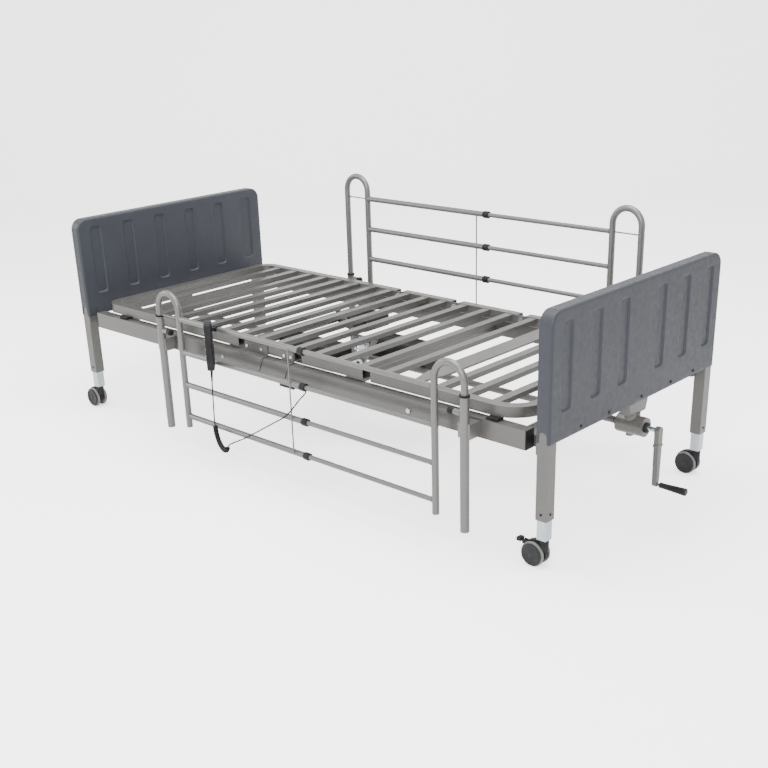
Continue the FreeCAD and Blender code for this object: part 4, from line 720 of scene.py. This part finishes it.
# ---------------------------------------------------------------- weld beads
def weld_ring(bm, centre, axis, radius, thick, seed):
    """A rippled bead round a tube's root."""
    place = axis_matrix(centre, axis)
    rings = []
    count, sides = 40, 6
    for i in range(count):
        angle = math.tau * i / count
        ripple = thick * (1 + 0.16 * math.sin(13 * angle + seed))
        spoke = Vector((math.cos(angle), math.sin(angle), 0))
        ring = []
        for j in range(sides):
            a = math.tau * j / sides
            along = Vector((0, 0, ripple * math.sin(a)))
            ring.append(bm.verts.new(place @ (spoke * (radius + ripple * math.cos(a)) + along)))
        rings.append(ring)
    for i in range(count):
        first, second = rings[i], rings[(i + 1) % count]
        for j in range(sides):
            k = (j + 1) % sides
            bm.faces.new((first[j], first[k], second[k], second[j]))


BAR_COUNT = 4


def guard_welds(word):
    """Beads where each bar meets its hoop."""
    collars_low, collars_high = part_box(word + "_guard_collars")
    y = (collars_low.y + collars_high.y) / 2
    first = collars_low.z + 13 * MM
    pitch = (collars_high.z - 13 * MM - first) / (BAR_COUNT - 1)
    for end, node, radius in ((1, "head", 10 * MM), (-1, "foot", 8 * MM)):
        low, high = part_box(f"{word}_guard_{node}_half")
        hoop = 112 * MM + 22 * MM
        x = low.x + hoop + 0.4 * MM if end > 0 else high.x - hoop - 0.4 * MM

        def build(bm, x=x, radius=radius):
            for i in range(BAR_COUNT):
                weld_ring(bm, Vector((x, y, first + i * pitch)), (1, 0, 0), radius, 1.3 * MM, i)

        new_piece(f"{word}_{node}_bar_welds", build, GUARD_PAINT, f"{word}_guard")


guard_welds("near")
guard_welds("far")


# ---------------------------------------------------------------- stage, light and camera
def make_floor():
    data = bpy.data.meshes.new("floor")
    bm = bmesh.new()
    reach, depth, radius = 9.0, 5.0, 2.0
    section = [(-depth, 0.0)] + [(depth + radius * math.sin(a), radius - radius * math.cos(a))
                                 for a in (math.pi / 2 * i / 24 for i in range(25))] + [(depth + radius, 6.0)]
    lines = [[bm.verts.new((x, y, z)) for y, z in section] for x in (-reach, reach)]
    for j in range(len(section) - 1):
        bm.faces.new((lines[0][j], lines[1][j], lines[1][j + 1], lines[0][j + 1]))
    bm.to_mesh(data)
    bm.free()
    data.polygons.foreach_set("use_smooth", [True] * len(data.polygons))
    data.materials.append(floor_paper())
    floor = bpy.data.objects.new("floor", data)
    floor.rotation_euler = (0, 0, CAMERA_TURN)
    bpy.context.scene.collection.objects.link(floor)


def area_light(name, place, aim, size, power, tint=(1, 1, 1)):
    data = bpy.data.lights.new(name, "AREA")
    data.shape = "RECTANGLE"
    data.size, data.size_y = size
    data.energy = power
    data.color = tint
    lamp = bpy.data.objects.new(name, data)
    lamp.location = place
    lamp.rotation_euler = (Vector(aim) - Vector(place)).to_track_quat("-Z", "Y").to_euler()
    bpy.context.scene.collection.objects.link(lamp)


# The view: turned from +Y towards -X, tipped down and rolled a little, through a long lens with a shifted centre.
CAMERA_PLACE = Vector((2.7178, -2.8301, 1.5503))
CAMERA_TURN = math.radians(43.113)
CAMERA_TIP = math.radians(23.141)
CAMERA_ROLL = math.radians(-1.655)
CAMERA_LENS = 53.62
CAMERA_SHIFT = (-0.00984, 0.1156)


def make_camera():
    ahead = Vector((-math.sin(CAMERA_TURN) * math.cos(CAMERA_TIP), math.cos(CAMERA_TURN) * math.cos(CAMERA_TIP),
                    -math.sin(CAMERA_TIP)))
    level = Vector((math.cos(CAMERA_TURN), math.sin(CAMERA_TURN), 0))
    above = level.cross(ahead)
    right = level * math.cos(CAMERA_ROLL) + above * math.sin(CAMERA_ROLL)
    up = above * math.cos(CAMERA_ROLL) - level * math.sin(CAMERA_ROLL)
    data = bpy.data.cameras.new("camera")
    data.lens = CAMERA_LENS
    data.sensor_width = 36
    data.shift_x, data.shift_y = CAMERA_SHIFT
    camera = bpy.data.objects.new("camera", data)
    turn = Matrix((right, up, -ahead)).transposed()
    camera.matrix_world = Matrix.Translation(CAMERA_PLACE) @ turn.to_4x4()
    bpy.context.scene.collection.objects.link(camera)
    bpy.context.scene.camera = camera


def light_studio():
    world = bpy.data.worlds.new("studio")
    bpy.context.scene.world = world
    world.use_nodes = True
    backdrop = world.node_tree.nodes["Background"]
    backdrop.inputs["Color"].default_value = (1.0, 1.0, 1.0, 1.0)
    backdrop.inputs["Strength"].default_value = 1.6
    area_light("overhead", (0.3, -0.2, 4.2), (0, 0, 0.3), (4.5, 3.0), 400)
    area_light("key", (3.2, -4.4, 3.4), (0, 0, 0.4), (2.4, 2.0), 340, (1.0, 0.985, 0.96))
    area_light("fill", (-4.4, -2.6, 2.2), (0, 0, 0.4), (2.2, 2.2), 130, (0.96, 0.98, 1.0))


make_camera()
make_floor()
light_studio()
